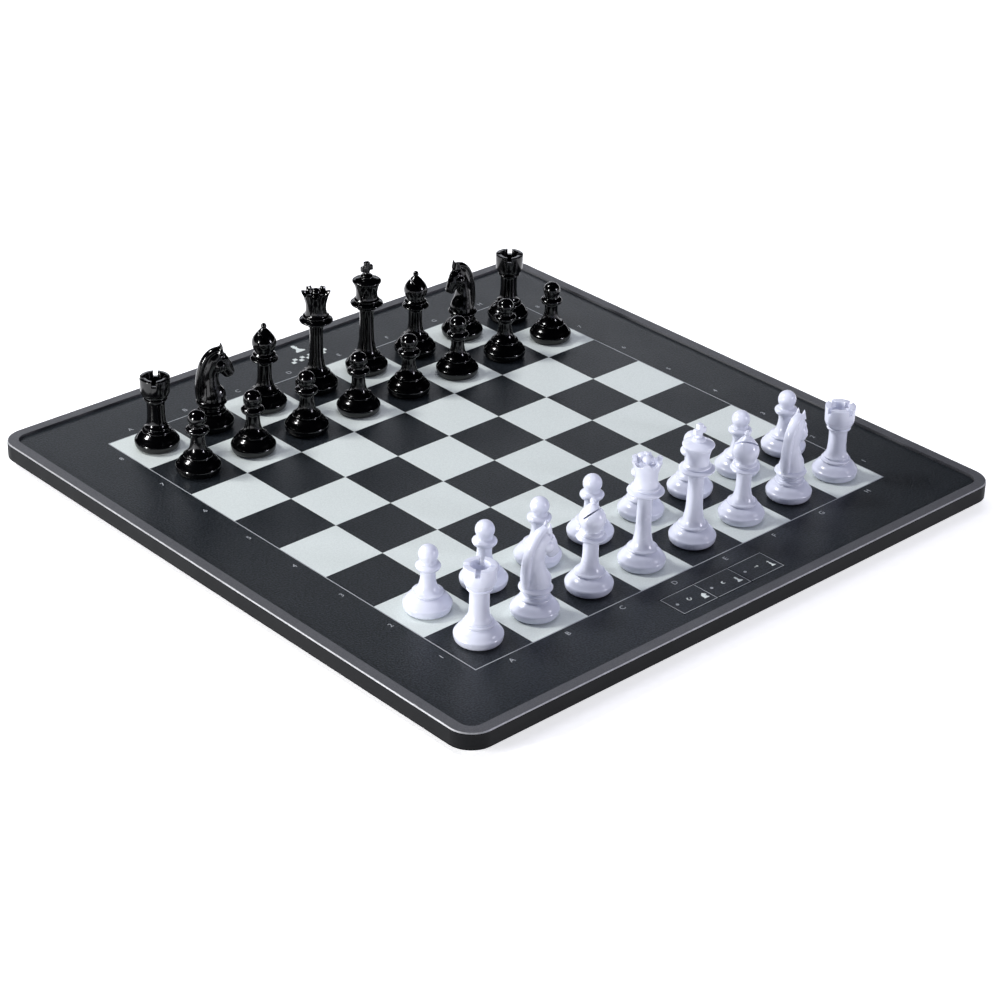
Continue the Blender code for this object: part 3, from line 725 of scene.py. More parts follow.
def silicone():
    """Moulded silicone rubber of the key mat: milky grey, soft and slightly see-through."""
    return grained("Silicone_rubber", (0.8, 0.02, 0.6), srgb("#9a9ca0"), srgb("#b2b4b8"),
                   (5, 0.5, 0.68), IOR=1.41,
                   Subsurface_Weight=0.2, Subsurface_Radius=(0.002, 0.002, 0.002))


def laminate_foil():
    """Aluminium laminate pouch of the battery: silver film with soft creases."""
    return grained("Aluminium_laminate_pouch", (9, 0.25, 0.6, 4.0), srgb("#8c8f94"), srgb("#b9bcc0"),
                   (8, 0.25, 0.42), Metallic=0.85)


def pressed_paper():
    """Speaker in a dark frame: pressed paper fibres, matt, with a fleck here and there."""
    return grained("Pressed_paper_and_frame", (0.7, 0.08, 0.9, 5.0), srgb("#1a1a1c"), srgb("#323236"),
                   (4, 0.6, 0.85), IOR=1.5)


def ribbon_film():
    """Ribbon cable: clear-coated pale film over bands of tinned wires, about three millimetres apart."""
    band_pitch = 3.1386
    waves_per_scale = 2 * pi / 20     # a wave texture of scale 1 has its bands this far apart
    material, tree, shader, place = new_material("Ribbon_cable_film", IOR=1.5, Roughness=0.35)
    wires = add_node(tree, "TexWave", {"wave_type": "BANDS", "bands_direction": "X", "wave_profile": "SIN"},
                     {"Scale": per_metre(band_pitch) * waves_per_scale, "Distortion": 0.0}, {"Vector": place})
    shade_between(tree, shader, wires.outputs["Fac"], srgb("#8d9093"), srgb("#cfd2d4"))
    raise_by(tree, shader, wires.outputs["Fac"], 0.8, 0.1)
    return material


def seamless_paper():
    """The studio's white paper floor."""
    return grained("Seamless_paper", (3.0, 0.02, 0.3), srgb("#f4f4f4"), srgb("#ffffff"), Roughness=0.9,
                   Emission_Color=(1, 1, 1, 1), Emission_Strength=0.6)


def grey_ink():
    return shared(printed_ink, "Screen_printed_grey_ink", colours().marks, 0.45)


def light_ink():
    return shared(printed_ink, "Screen_printed_light_ink", colours().light, 0.42)


def nickel():
    return shared(plated_steel, "Nickel_plated_steel", srgb("#c6c5c2"))


def colours():
    return bpy.context.scene.chess_computer_colours


def sizes():
    return bpy.context.scene.chess_computer_sizes


def shared(make, *values):
    """A material made once and then found again by its maker's name and its values."""
    plain = [value if isinstance(value, (str, float, int)) else tuple(value) for value in values]
    key = make.__name__ + str(plain)
    if key not in SHARED:
        SHARED[key] = make(*values)
    return SHARED[key]


SHARED = {}


# ---- the case


class CHESS_OT_bezel(bpy.types.Operator):
    """Frame of the case: near-black side wall (partly painted shade), chamfer coloured pale as a painted
    highlight, raised rim, ledge and the openings of the two ports
    """

    bl_idname = "chess_computer.bezel"
    bl_label = "Top bezel"

    def execute(self, context):
        bezel = rounded_face("case_bezel", HALF, CASE_RADIUS, WALL_FOOT)
        extrude_faces(RIM_TOP - RIM_CHAMFER - WALL_FOOT)
        bpy.ops.mesh.inset(thickness=RIM_CHAMFER, depth=RIM_CHAMFER)
        bpy.ops.mesh.inset(thickness=RIM_WIDTH - RIM_CHAMFER, depth=0)
        extrude_faces(LEDGE_TOP - RIM_TOP)
        bpy.ops.mesh.inset(thickness=LEDGE_WIDTH, depth=0)
        extrude_faces(LEDGE_FOOT - LEDGE_TOP)
        bpy.ops.mesh.delete(type="ONLY_FACE")
        choose(bezel, "polygons",
               lambda face: abs(face.center.z - WALL_FOOT) < 1e-6 and abs(face.normal.z) > 0.9)
        bpy.ops.mesh.inset(thickness=WALL, depth=0)
        extrude_faces(LEDGE_FOOT - WALL_FOOT)
        bpy.ops.mesh.delete(type="ONLY_FACE")
        choose(bezel, "edges", lambda edge: all(abs(end.z - LEDGE_FOOT) < 1e-6 for end in ends(bezel, edge)))
        bpy.ops.mesh.bridge_edge_loops()
        leave_edit()
        clean(bezel)
        self.cut_ports(bezel)
        round_edges(bezel, sizes().edge_round)
        smooth_flats(bezel)
        # Faces take their colour by which way they face: the dark wall is partly painted shade, the pale
        # chamfer a painted highlight.
        finishes = (shared(smooth_abs_with_painted_shade, colours().case), shared(textured_abs, colours().rim),
                    shared(chamfer_with_painted_highlight, colours().chamfer))
        finish_piece(bezel, "board", finishes, ("top_bezel",), self.zone)
        return {"FINISHED"}

    def zone(self, face):
        """Wall 0, top of the rim 1, chamfer 2. The dark wall is partly painted shade and the pale chamfer a
        painted highlight.
        """
        if face.normal.z > 0.95 and face.center.z > RIM_TOP - 0.1 * MM:
            return 1
        x, y = abs(face.center.x), abs(face.center.y)
        start = HALF - CASE_RADIUS
        inward = HALF - max(x, y) if min(x, y) < start else CASE_RADIUS - hypot(x - start, y - start)
        if inward > RIM_WIDTH / 2:
            return 1
        return 2 if 0.3 < face.normal.z and face.center.z > RIM_TOP - MM else 0

    def cut_ports(self, bezel):
        """The socket's round-ended mouth and the switch's slot, through the back wall."""
        flat = 0.01 * MM
        for node, travel, gap, corner, segments in (
            ("charging_socket", 0, 0.5 * MM, None, 8),
            ("power_switch_slider", SWITCH_TRAVEL, 1.0 * MM, 0.6 * MM, 4),
        ):
            low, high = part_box(node)
            size = (high.x - low.x + travel + gap, 4 * WALL, high.z - low.z + gap)
            tool = add_block("port_tool", ((low.x + high.x + travel) / 2, HALF, (low.z + high.z) / 2), size)
            bevel_some(tool, along_y, corner or size[2] / 2 - flat, segments)
            combine(bezel, tool)


class CHESS_OT_tray(bpy.types.Operator):
    """Tray of the case: tapered side, flat underside with a recessed plate, speaker slots and screw holes"""

    bl_idname = "chess_computer.tray"
    bl_label = "Bottom shell"

    def execute(self, context):
        tray = rounded_face("case_tray", HALF, CASE_RADIUS, SHOULDER)
        bpy.ops.mesh.inset(thickness=TRAY_TAPER, depth=TRAY_LOW.z - SHOULDER)
        leave_edit()
        inside = rounded_face("tray_inside", HALF, CASE_RADIUS, SHOULDER)
        bpy.ops.mesh.inset(thickness=WALL + LIP["gap"], depth=0)
        extrude_faces(LIP["rise"])
        bpy.ops.mesh.inset(thickness=LIP["width"], depth=0)
        extrude_faces(TRAY_FLOOR_TOP - SHOULDER - LIP["rise"])
        leave_edit()
        join(tray, [inside])
        clean(tray)
        self.cut_slots(tray)
        self.cut_screw_holes(tray)
        round_edges(tray, sizes().edge_round)
        smooth_flats(tray)
        finish_piece(tray, "board", shared(textured_abs, colours().tray), ("bottom_shell",))
        return {"FINISHED"}

    def cut_slots(self, tray):
        """The speaker's slots and the shallow recess for a plate."""
        centre = box_centre("speaker")
        count = SPEAKER_SLOT["count"]
        tools = []
        for slot in range(count):
            x = centre.x + (slot - (count - 1) / 2) * SPEAKER_SLOT["pitch"]
            tool = add_block("slot_tool", (x, centre.y, TRAY_LOW.z), SPEAKER_SLOT["size"])
            bevel_some(tool, upright, SPEAKER_SLOT["end_radius"], 5)
            tools.append(tool)
        combine(tray, join(tools[0], tools[1:]))
        plate_tool = add_block("plate_tool", (*RECESS["place"], TRAY_LOW.z), RECESS["size"])
        bevel_some(plate_tool, upright, RECESS["corner"], 6)
        combine(tray, plate_tool)

    def cut_screw_holes(self, tray):
        tools = []
        for name in SCREWS:
            centre = box_centre(name)
            tools.append(add_primitive("cylinder", "hole_tool", vertices=24, radius=SCREW_HOLE_RADIUS,
                                       depth=20 * MM, location=(centre.x, centre.y, 4 * MM)))
        combine(tray, join(tools[0], tools[1:]))


class CHESS_OT_panel(bpy.types.Operator):
    """Playing panel: one sheet with round corners, small bevels and the cut-out for the keys"""

    bl_idname = "chess_computer.panel"
    bl_label = "Playing panel"

    def execute(self, context):
        panel = rounded_face("playing_panel", PANEL_HIGH.x, CASE_RADIUS - RIM_WIDTH, PANEL_LOW.z)
        extrude_faces(PANEL_TOP - PANEL_LOW.z)
        leave_edit()
        clean(panel)
        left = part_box("function_key_left")[0]
        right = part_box("function_key_right")[1]
        centre = ((left.x + right.x) / 2, (left.y + right.y) / 2, PANEL_TOP)
        size = (right.x - left.x + 2 * KEY_GAP, right.y - left.y + 2 * KEY_GAP, 10 * MM)
        combine(panel, add_block("key_tool", centre, size))
        round_edges(panel, SMALL_ROUND)
        smooth_flats(panel)
        finish_piece(panel, "board", shared(hard_coat, colours().panel), ("play_panel",))
        return {"FINISHED"}


class CHESS_OT_keys(bpy.types.Operator):
    """Function keys: three flush plates, each with its frame line, light dot and two pictures"""

    bl_idname = "chess_computer.keys"
    bl_label = "Function keys"

    def execute(self, context):
        knight = knight_picture(BOLD_ICON_HEIGHT, BOLD_ICON_X, BOLD_ICON_FOOT)
        pawn = man_silhouette(PAWN_OUTLINE, BOLD_ICON_HEIGHT, BOLD_ICON_X, BOLD_ICON_FOOT)
        king = king_picture(BOLD_ICON_HEIGHT + 0.4, BOLD_ICON_X, BOLD_ICON_FOOT - 0.2)
        pictures = {
            "left": turning_arrow(1.25, SMALL_ICON_X, 0) + knight,
            "middle": crescent(1.15, SMALL_ICON_X, 0) + [pawn],
            "right": side_arrow(1.3, SMALL_ICON_X, 0) + king,
        }
        for key in KEYS:
            node = "function_key_" + key
            low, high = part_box(node)
            centre = (low + high) / 2
            plate = add_block("key_plate_" + key, centre, high - low)
            bevel_some(plate, upright, 0.5 * MM, 4)
            round_edges(plate, SMALL_ROUND)
            smooth_flats(plate)
            finish_piece(plate, "key_" + key, shared(hard_coat, colours().panel), (node,))
            self.print_key(key, centre, high - low, pictures[key])
        return {"FINISHED"}

    def print_key(self, key, centre, size, pictures):
        """The key's frame line and dot in grey, and its two pictures in light ink.

        The frame is whole on the first key and open on the left of the others, so that no line is doubled.
        """
        half_x, half_y = size.x / 2 / MM - KEY_LINE_INSET, size.y / 2 / MM - KEY_LINE_INSET
        inner_x, inner_y = half_x - KEY_LINE, half_y - KEY_LINE
        if key == KEYS[0]:
            lines = frame_lines(half_x, half_y, inner_x, inner_y)
        else:
            lines = [[(-half_x, -half_y), (half_x, -half_y), (half_x, half_y), (-half_x, half_y),
                      (-half_x, inner_y), (inner_x, inner_y), (inner_x, -inner_y), (-half_x, -inner_y)]]
        lines.append(circle_outline(LED_RADIUS, (LED_X, 0)))
        layers = (("key_print_", lines, grey_ink()), ("key_picture_", pictures, light_ink()))
        for name, outlines, ink in layers:
            piece = flat_print(name + key, outlines, (centre.x, centre.y), sizes().print_rise)
            finish_piece(piece, "key_" + key, ink)


# ---- the print on the panel


class CHESS_OT_squares(bpy.types.Operator):
    """Printed field: thirty-two light squares and the thin line round them"""

    bl_idname = "chess_computer.squares"
    bl_label = "Printed field"

    def execute(self, context):
        just_above = 0.005 * MM
        squares = add_primitive("grid", "printed_light_squares", x_subdivisions=8, y_subdivisions=8,
                                size=8 * SQUARE, location=(0, 0, PANEL_TOP + just_above))

        def dark(part):
            return (int(part.center.x / SQUARE + 4) + int(part.center.y / SQUARE + 4)) % 2 == 0

        choose(squares, "polygons", dark)
        bpy.ops.mesh.delete(type="FACE")
        choose(squares, "polygons", lambda part: True)
        bpy.ops.mesh.edge_split()
        leave_edit()
        choose(squares, "polygons", lambda part: True)
        bpy.ops.mesh.inset(thickness=0.01 * MM, use_individual=True)
        choose(squares, "polygons", lambda part: part.area < SQUARE * MM)
        bpy.ops.mesh.delete(type="FACE")
        choose(squares, "polygons", lambda part: True)
        extrude_faces(sizes().print_rise)
        leave_edit()
        clean(squares, 1e-7)
        finish_piece(squares, "board", light_ink())
        gap = 0.02
        half = 4 * SQUARE / MM + gap
        outside = half + BORDER_WIDTH
        print_on_panel("printed_border", frame_lines(outside, outside, half, half), grey_ink())
        return {"FINISHED"}


class CHESS_OT_coordinates(bpy.types.Operator):
    """Letters along the two ends of the field and digits along its sides"""

    bl_idname = "chess_computer.coordinates"
    bl_label = "Coordinates"

    def execute(self, context):
        glyphs = []
        edge = 4 * SQUARE
        for index, letter in enumerate(FILES.upper()):
            along = (index - 3.5) * SQUARE
            digit = str(index + 1)
            glyphs += [
                self.glyph(letter, (along, -edge - LETTER_ROW * MM)),
                self.glyph(letter, (along, edge + (LETTER_ROW + BACK_ROW_EXTRA) * MM)),
                self.glyph(digit, (-edge - DIGIT_COLUMN_LEFT * MM, along)),
                self.glyph(digit, (edge + DIGIT_COLUMN_RIGHT * MM, along)),
            ]
        coordinates = join(glyphs[0], glyphs[1:])
        coordinates.name = "printed_coordinates"
        finish_piece(coordinates, "board", grey_ink())
        return {"FINISHED"}

    def glyph(self, text, place):
        deselect_all()
        bpy.ops.object.text_add(location=(0, 0, 0))
        obj = bpy.context.active_object
        obj.data.body = text
        obj.data.size = LETTER_SIZE * MM
        obj.data.align_x = "CENTER"
        obj.data.align_y = "CENTER"
        obj.data.extrude = sizes().print_rise / 2
        obj.data.resolution_u = 4
        bpy.ops.object.convert(target="MESH")
        obj = bpy.context.active_object
        move_mesh(obj, (place[0], place[1], PANEL_TOP + sizes().print_rise / 2))
        clean(obj, 1e-7)
        return obj


class CHESS_OT_mark(bpy.types.Operator):
    """Plain mark in the far margin: a pawn's outline over a strip of small squares"""

    bl_idname = "chess_computer.mark"
    bl_label = "Margin mark"

    def execute(self, context):
        x, y = MARK_PLACE
        shapes = [man_silhouette(PAWN_OUTLINE, MARK_HEIGHT, x, y)]
        left, bottom = STRIP_PLACE
        for cell in range(STRIP_CELLS):
            row = bottom + (cell % 2) * STRIP_CELL
            start = left + cell * STRIP_CELL + STRIP_GAP / 2
            width = STRIP_CELL - STRIP_GAP
            shapes.append(rectangle(start, row, start + width, row + width))
        print_on_panel("printed_mark", shapes, light_ink())
        return {"FINISHED"}


# ---- feet, screws and ports


class CHESS_OT_feet(bpy.types.Operator):
    """Rubber feet: four low pucks with a dished underside"""

    bl_idname = "chess_computer.feet"
    bl_label = "Rubber feet"

    def execute(self, context):
        low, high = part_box("rubber_foot_front_left")
        radius = (high.x - low.x) / 2 / MM
        rise = (high.z - low.z) / MM
        outline = ((0.01, 0.35, 0), (radius - 2.2, 0.3, 0), (radius - 1.7, 0, 0), (radius - 0.7, 0, 0),
                   (radius, 0.6, 0.35), (radius, rise - 0.2, 0), (radius - 0.2, rise, 0.3), (0, rise, 0))
        model = turned("foot_model", outline, 72)
        round_edges(model, 0.1 * MM)
        smooth(model)
        for name in FEET:
            node = "rubber_foot_" + name
            centre = box_centre(node)
            foot = copy_of(model, "foot_" + name, (centre.x, centre.y, 0), 0)
            finish_piece(foot, "board", shared(moulded_rubber), (node,))
        bpy.data.objects.remove(model, do_unlink=True)
        return {"FINISHED"}


class CHESS_OT_screws(bpy.types.Operator):
    """Case screws: eight pan heads with a cross recess, and their threaded shanks"""

    bl_idname = "chess_computer.screws"
    bl_label = "Case screws"

    def execute(self, context):
        low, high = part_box(SCREWS[0])
        head = (high.x - low.x) / 2 / MM
        foot, top = low.z / MM, high.z / MM
        core, crest, pitch = 1.0, 1.2, 0.6
        outline = [(0.01, foot, 0), (head * 0.45, foot, 0), (head, foot + 0.8, 0.28), (head, foot + 1.1, 0),
                   (core, foot + 1.1, 0)]
        level = foot + 1.5
        while level + pitch < top:
            outline += [(core, level, 0), (crest, level + pitch * 0.4, 0), (core, level + pitch * 0.8, 0)]
            level += pitch
        outline += [(0, top, 0)]
        model = turned("screw_model", outline, 32)
        for turn in (0, pi / 2):
            blade = add_block("blade", (0, 0, foot * MM), (2.6 * MM, 0.55 * MM, 1.2 * MM))
            move_mesh(blade, turn=(0, 0, turn))
            combine(model, blade)
        smooth(model)
        for name in SCREWS:
            centre = box_centre(name)
            screw = copy_of(model, "fitted_" + name, (centre.x, centre.y, 0), radians(23 * int(name[-1])))
            steel = shared(plated_steel, "Zinc_plated_steel", srgb("#b9bcc0"))
            finish_piece(screw, "board", steel, (name,))
        bpy.data.objects.remove(model, do_unlink=True)
        return {"FINISHED"}


class CHESS_OT_ports(bpy.types.Operator):
    """Back edge: the round-ended charging socket with its tongue, and the ribbed switch knob"""

    bl_idname = "chess_computer.ports"
    bl_label = "Socket and switch"

    def execute(self, context):
        low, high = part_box("charging_socket")
        size = high - low
        centre = (low + high) / 2
        shell = add_block("socket_shell", centre, size)
        bevel_some(shell, along_y, size.z / 2 - 0.05 * MM, 8)
        front = high.y
        choose(shell, "polygons", lambda part: part.center.y > front - 1e-6)
        bpy.ops.mesh.inset(thickness=0.35 * MM, depth=0)
        extrude_faces(0, back=-5.8 * MM)
        leave_edit()
        clean(shell)
        round_edges(shell, 0.08 * MM)
        place = (centre.x, front - 3.9 * MM, centre.z)
        tongue = add_block("tongue", place, (6.4 * MM, 6.2 * MM, 0.7 * MM), SMALL_ROUND)
        combine(shell, tongue, "UNION")
        smooth(shell)
        finish_piece(shell, "board", nickel(), ("charging_socket",))
        self.knob()
        return {"FINISHED"}

    def knob(self):
        low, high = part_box("power_switch_slider")
        centre = (low + high) / 2
        knob = add_block("switch_knob", centre, high - low)
        cut = (0.35 * MM, 0.6 * MM, 4 * MM)
        cuts = [add_block("rib_cut", (centre.x + offset * MM, high.y, centre.z), cut)
                for offset in (-0.9, 0, 0.9)]
        combine(knob, join(cuts[0], cuts[1:]))
        round_edges(knob, 0.12 * MM)
        smooth(knob)
        plastic = shared(textured_abs, colours().case)
        finish_piece(knob, "power_slider", plastic, ("power_switch_slider",))


class CHESS_OT_inside(bpy.types.Operator):
    """Finishes of the parts inside the case, which keep their CAD shapes"""

    bl_idname = "chess_computer.inside"
    bl_label = "Inner parts"

    def execute(self, context):
        finishes = {
            "sensor_board": shared(solder_mask), "controller_board": shared(solder_mask),
            "key_board": shared(solder_mask), "key_switch_mat": shared(silicone),
            "battery_pack": shared(laminate_foil), "speaker": shared(pressed_paper),
            "ribbon_cable": shared(ribbon_film), "power_switch_body": nickel(),
        }
        for name, material in finishes.items():
            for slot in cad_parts[name].material_slots:
                slot.material = material
        return {"FINISHED"}


# ---- the chessmen


def copy_of(source, name, place, turn):
    """A copy with its own mesh, turned about its axis and stood on its place."""
    copy = source.copy()
    copy.data = source.data.copy()
    copy.name = name
    copy.data.name = name
    bpy.context.collection.objects.link(copy)
    move_mesh(copy, place, (0, 0, turn))
    return copy


def square_centre(square):
    x = (FILES.index(square[0]) - 3.5) * SQUARE
    y = (int(square[1]) - 4.5) * SQUARE
    return Vector((x, y, MAN_FOOT))


def stand_men(kind, model):
    """Stand a copy of a man, with its felt pad, on each of its squares, then remove the model."""
    pad_rise = sizes().pad_rise / MM
    buried = PAD["buried"]
    pad_outline = ((PAD["foot_radius"], -pad_rise, 0), (PAD["radius"], buried, 0.1), (0, buried, 0))
    pad_model = turned("pad_model", pad_outline, PAD["sides"])
    men = [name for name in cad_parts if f"_{kind}_" in name]
    if not men:
        raise RuntimeError(f"the frame has no {kind}")
    for name in men:
        side, _, square = name.split("_")
        if side == "white":
            plastic = shared(polished_styrene, "White_polystyrene", colours().white, 0.2, 0.28, 0.05, 1.55)
        else:
            plastic = shared(polished_styrene, "Black_polystyrene", colours().black, 0.11, 0.17, 0.02, 1.5)
        turn = radians(TURNS.get(square, 0))
        man = copy_of(model, f"{side}_{kind}_on_{square}", square_centre(square), turn)
        finish_piece(man, name, plastic, (name,))
        pad = copy_of(pad_model, "felt_pad_" + square, square_centre(square), turn)
        finish_piece(pad, name, shared(felt, colours().felt))
    for used in (model, pad_model):
        bpy.data.objects.remove(used, do_unlink=True)


def finished_man(model):
    round_edges(model, sizes().men_round, 2, radians(28))
    smooth(model, radians(40))
    return model


class CHESS_OT_pawns(bpy.types.Operator):
    """Sixteen pawns, turned"""

    bl_idname = "chess_computer.pawns"
    bl_label = "Pawns"

    def execute(self, context):
        stand_men("pawn", finished_man(turned("pawn_model", PAWN_OUTLINE)))
        return {"FINISHED"}


class CHESS_OT_rooks(bpy.types.Operator):
    """Four rooks: a turned tower with four notches sawn in its crown"""

    bl_idname = "chess_computer.rooks"
    bl_label = "Rooks"

    def execute(self, context):
        model = turned("rook_model", ROOK_OUTLINE)
        size = (ROOK_NOTCH["length"] * MM, ROOK_NOTCH["width"] * MM, 2 * ROOK_NOTCH["depth"] * MM)
        top = max(height for _, height, _ in ROOK_OUTLINE)
        for notch in range(ROOK_NOTCHES):
            tool = add_block("notch_tool", (ROOK_NOTCH["middle"] * MM, 0, top * MM), size)
            move_mesh(tool, turn=(0, 0, 2 * pi * notch / ROOK_NOTCHES))
            combine(model, tool)
        stand_men("rook", finished_man(model))
        return {"FINISHED"}


class CHESS_OT_bishops(bpy.types.Operator):
    """Four bishops: a turned mitre with a slit that slants down into it from one side"""

    bl_idname = "chess_computer.bishops"
    bl_label = "Bishops"

    def execute(self, context):
        model = turned("bishop_model", BISHOP_OUTLINE)
        length = SLIT["length"] * MM
        tool = add_block("slit_tool", (0, 0, 0), (2 * length, length, SLIT["thickness"] * MM))
        move_mesh(tool, turn=(SLIT["tilt"], 0, 0))
        move_mesh(tool, (0, SLIT["middle"] * MM, SLIT["height"] * MM))
        combine(model, tool)
        stand_men("bishop", finished_man(model))
        return {"FINISHED"}


class CHESS_OT_queens(bpy.types.Operator):
    """Two queens: a turned body whose coronet is scalloped into six points"""

    bl_idname = "chess_computer.queens"
    bl_label = "Queens"

    def execute(self, context):
        model = turned("queen_model", QUEEN_OUTLINE)
        rim = max(ring[1] for ring in QUEEN_OUTLINE if ring[0] > 6)
        for tip in range(QUEEN_TIPS):
            place = (CORONET_NOTCH["middle"] * MM, 0, (rim + CORONET_NOTCH["above"]) * MM)
            tool = add_primitive("cylinder", "notch_tool", vertices=32, radius=CORONET_NOTCH["radius"] * MM,
                                 depth=CORONET_NOTCH["length"] * MM, location=place, rotation=(0, pi / 2, 0))
            move_mesh(tool, turn=(0, 0, 2 * pi * (tip + 0.5) / QUEEN_TIPS))
            combine(model, tool)
        stand_men("queen", finished_man(model))
        return {"FINISHED"}


class CHESS_OT_kings(bpy.types.Operator):
    """Two kings: a turned body with a flared cross on its knob"""

    bl_idname = "chess_computer.kings"
    bl_label = "Kings"

    def execute(self, context):
        model = turned("king_model", KING_OUTLINE)
        combine(model, self.cross(), "UNION")
        stand_men("king", finished_man(model))
        return {"FINISHED"}

    def cross(self):
        arm, middle = CROSS["arm"] * MM, CROSS["middle"] * MM
        cross = add_block("cross_tool", (0, 0, middle), (arm, CROSS["depth"] * MM, arm))
        reach = CROSS["span"] * MM / 2 - arm / 2
        flare = CROSS["flare"]
        for side in (-1, 1):
            choose(cross, "polygons", lambda part: part.normal.x * side > 0.9)
            extrude_faces(0, right=side * reach)
            end = side * (arm / 2 + reach)
            bpy.ops.transform.resize(value=(1, 1, flare), center_override=(end, 0, middle))
        choose(cross, "polygons", lambda part: part.normal.z > 0.9 and abs(part.center.x) < arm / 4)
        extrude_faces(CROSS["top"] * MM - middle - arm / 2)
        bpy.ops.transform.resize(value=(flare, 1, 1), center_override=(0, 0, CROSS["top"] * MM))
        choose(cross, "polygons", lambda part: part.normal.z < -0.9 and abs(part.center.x) < arm / 4)
        extrude_faces(CROSS["foot"] * MM - middle + arm / 2)
        leave_edit()
        clean(cross)
        round_edges(cross, CROSS["rounding"] * MM, 3)
        return cross


class CHESS_OT_knights(bpy.types.Operator):
    """Four knights: a modelled horse's head with a raised mane, on a turned foot"""

    bl_idname = "chess_computer.knights"
    bl_label = "Knights"

    def execute(self, context):
        foot = turned("knight_model", KNIGHT_OUTLINE)
        parts = [self.limb(name, stations, width) for name, (stations, width) in HORSE_PARTS.items()]
        for forward, sideways, height, radius in HORSE_SPOTS:
            for side in (-1, 1):
                place = (forward * MM, side * sideways * MM, height * MM)
                parts.append(add_primitive("uv_sphere", "spot", segments=24, ring_count=16,
                                           radius=radius * MM, location=place))
        for side in (-1, 1):
            parts.append(self.ear(side))
        horse = join(parts[0], parts[1:])
        add_modifier(horse, "REMESH", mode="VOXEL", voxel_size=HORSE_VOXEL)
        add_modifier(horse, "SMOOTH", factor=0.5, iterations=5)
        clean(horse)
        round_edges(foot, sizes().men_round, 2, radians(28))
        combine(foot, horse, "UNION")
        clean(foot)
        smooth(foot, radians(55))
        stand_men("knight", foot)
        return {"FINISHED"}

    def limb(self, name, stations, width):
        """A closed tube of changing radius along a smooth line in the horse's middle plane."""
        curve = bpy.data.curves.new(name, "CURVE")
        curve.dimensions = "3D"
        curve.bevel_depth = MM
        curve.bevel_resolution = 8
        curve.resolution_u = 10
        curve.use_fill_caps = True
        spline = curve.splines.new("BEZIER")
        spline.bezier_points.add(len(stations) - 1)
        for point, (forward, height, radius) in zip(spline.bezier_points, stations):
            point.co = (forward * MM, 0, height * MM)
            point.radius = radius
            point.handle_left_type = point.handle_right_type = "AUTO"
        obj = bpy.data.objects.new(name, curve)
        bpy.context.collection.objects.link(obj)
        activate(obj)
        bpy.ops.object.convert(target="MESH")
        obj = bpy.context.active_object
        move_mesh(obj, scale=(1, width, 1))
        clean(obj)
        return obj

    def ear(self, side):
        foot, tip = EAR["foot"] * MM, EAR["tip"] * MM
        place = (EAR["forward"] * MM, side * EAR["sideways"] * MM, (foot + tip) / 2)
        return add_primitive("cone", "ear", vertices=20, radius1=EAR["radius"] * MM,
                             radius2=EAR["tip_radius"] * MM, depth=tip - foot, location=place,
                             rotation=(0, EAR["tilt"], 0))


# ---- the studio


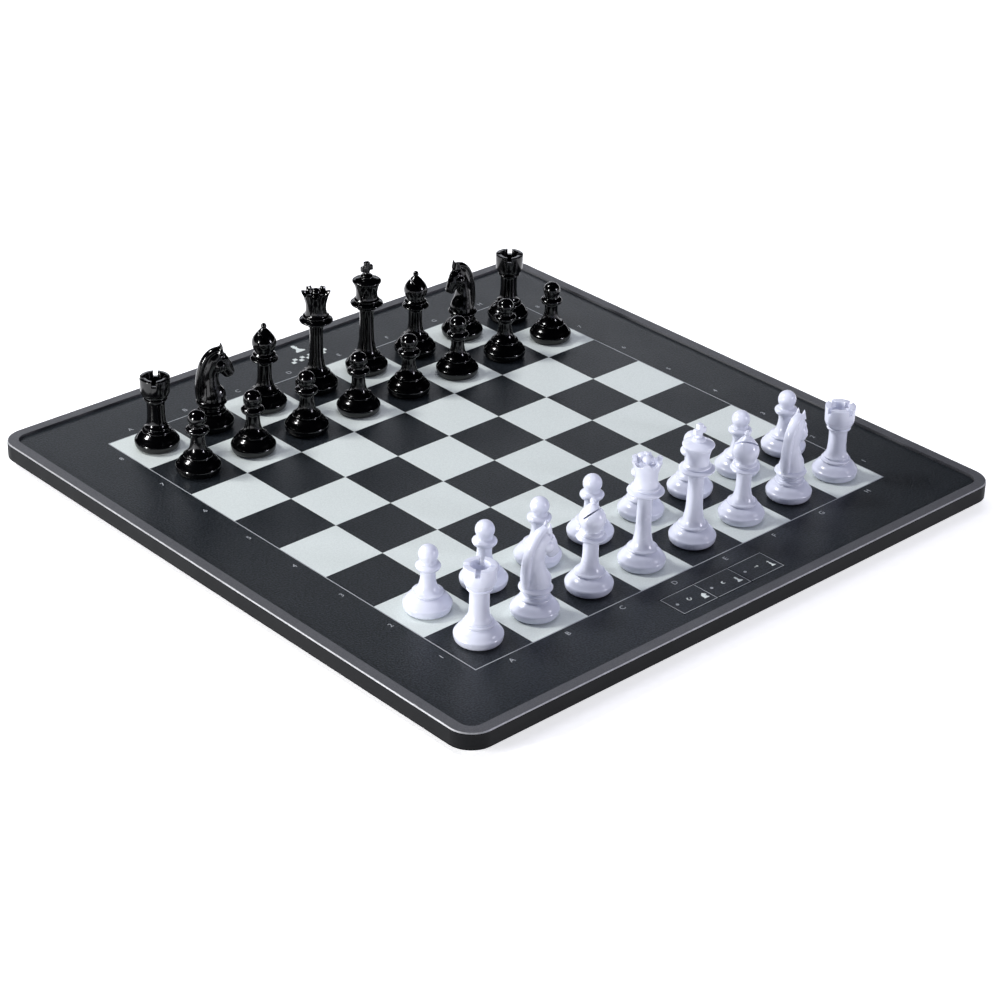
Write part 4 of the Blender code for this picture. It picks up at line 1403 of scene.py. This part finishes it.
class CHESS_OT_stage(bpy.types.Operator):
    """White floor, soft lights and the camera"""

    bl_idname = "chess_computer.stage"
    bl_label = "Stage"

    # name, place, size, power in watts, colour, whether glossy surfaces mirror it
    LIGHTS = (
        ("left_strip", (-1.4, 0.15, 0.3), (0.16, 0.45), 18, "#ffffff", True),
        ("upper_left_softbox", (-0.75, 0.92, 1.35), (0.3, 0.3), 18, "#ffffff", True),
        ("back_softbox", (1.05, 1.5, 0.6), (1.5, 0.4), 3.2, "#f4f7ff", True),
        ("right_strip", (0.85, -1.4, 0.5), (0.2, 0.4), 9, "#f4f2ff", True),
        ("ceiling_panel", (0.1, 0.2, 1.9), (1.0, 1.0), 9, "#f6f6ff", False),
    )
    CAMERA_PLACE = (-0.81225, -0.86116, 0.64442)
    CAMERA_DIP = radians(28.95)
    CAMERA_HEADING = radians(-43.49)
    CAMERA_ROLL = radians(1.73)
    LENS = 93.06

    def execute(self, context):
        floor = add_primitive("plane", "floor", size=12)
        floor.data.materials.append(seamless_paper())
        for name, place, size, power, tint, mirrored in self.LIGHTS:
            bpy.ops.object.light_add(type="AREA", location=place)
            light = bpy.context.active_object
            light.name = name
            light.data.shape = "RECTANGLE"
            light.data.size, light.data.size_y = size
            light.data.energy = power
            light.data.color = srgb(tint)[:3]
            light.rotation_euler = Vector(place).to_track_quat("Z", "Y").to_euler()
            light.visible_glossy = mirrored
        world = bpy.data.worlds.new("studio")
        world.use_nodes = True
        background = world.node_tree.nodes["Background"]
        background.inputs["Color"].default_value = srgb("#ced4f4")
        background.inputs["Strength"].default_value = 0.2
        context.scene.world = world
        world.cycles_visibility.glossy = False
        bpy.ops.object.camera_add(location=self.CAMERA_PLACE)
        camera = bpy.context.active_object
        camera.rotation_euler = (
            Matrix.Rotation(self.CAMERA_HEADING, 3, "Z") @ Matrix.Rotation(pi / 2 - self.CAMERA_DIP, 3, "X")
            @ Matrix.Rotation(self.CAMERA_ROLL, 3, "Z")
        ).to_euler()
        camera.data.sensor_width = 36
        camera.data.lens = self.LENS
        camera.data.clip_start = 0.01
        context.scene.camera = camera
        context.scene.view_settings.view_transform = "Standard"
        return {"FINISHED"}


class CHESS_PT_panel(bpy.types.Panel):
    """Lists the steps that build the chess computer"""

    bl_idname = "CHESS_PT_panel"
    bl_label = "Chess Computer"
    bl_space_type = "VIEW_3D"
    bl_region_type = "UI"
    bl_category = "Chess Computer"

    def draw(self, context):
        layout = self.layout
        for group in (context.scene.chess_computer_sizes, context.scene.chess_computer_colours):
            column = layout.column(align=True)
            for name in group.bl_rna.properties.keys():
                if name not in {"rna_type", "name"}:
                    column.prop(group, name)
        column = layout.column(align=True)
        for step in STEPS:
            column.operator(step.bl_idname)


STEPS = (
    CHESS_OT_bezel, CHESS_OT_tray, CHESS_OT_panel, CHESS_OT_keys, CHESS_OT_squares, CHESS_OT_coordinates,
    CHESS_OT_mark, CHESS_OT_feet, CHESS_OT_screws, CHESS_OT_ports, CHESS_OT_inside, CHESS_OT_pawns,
    CHESS_OT_rooks, CHESS_OT_knights, CHESS_OT_bishops, CHESS_OT_queens, CHESS_OT_kings, CHESS_OT_stage,
)
CLASSES = (ChessComputerSizes, ChessComputerColours, *STEPS, CHESS_PT_panel)


def register():
    for item in CLASSES:
        bpy.utils.register_class(item)
    bpy.types.Scene.chess_computer_sizes = bpy.props.PointerProperty(type=ChessComputerSizes)
    bpy.types.Scene.chess_computer_colours = bpy.props.PointerProperty(type=ChessComputerColours)


def unregister():
    del bpy.types.Scene.chess_computer_colours
    del bpy.types.Scene.chess_computer_sizes
    for item in reversed(CLASSES):
        bpy.utils.unregister_class(item)


def main():
    register()
    for step in STEPS:
        group, action = step.bl_idname.split(".")
        getattr(getattr(bpy.ops, group), action)()


if __name__ == "__main__":
    main()
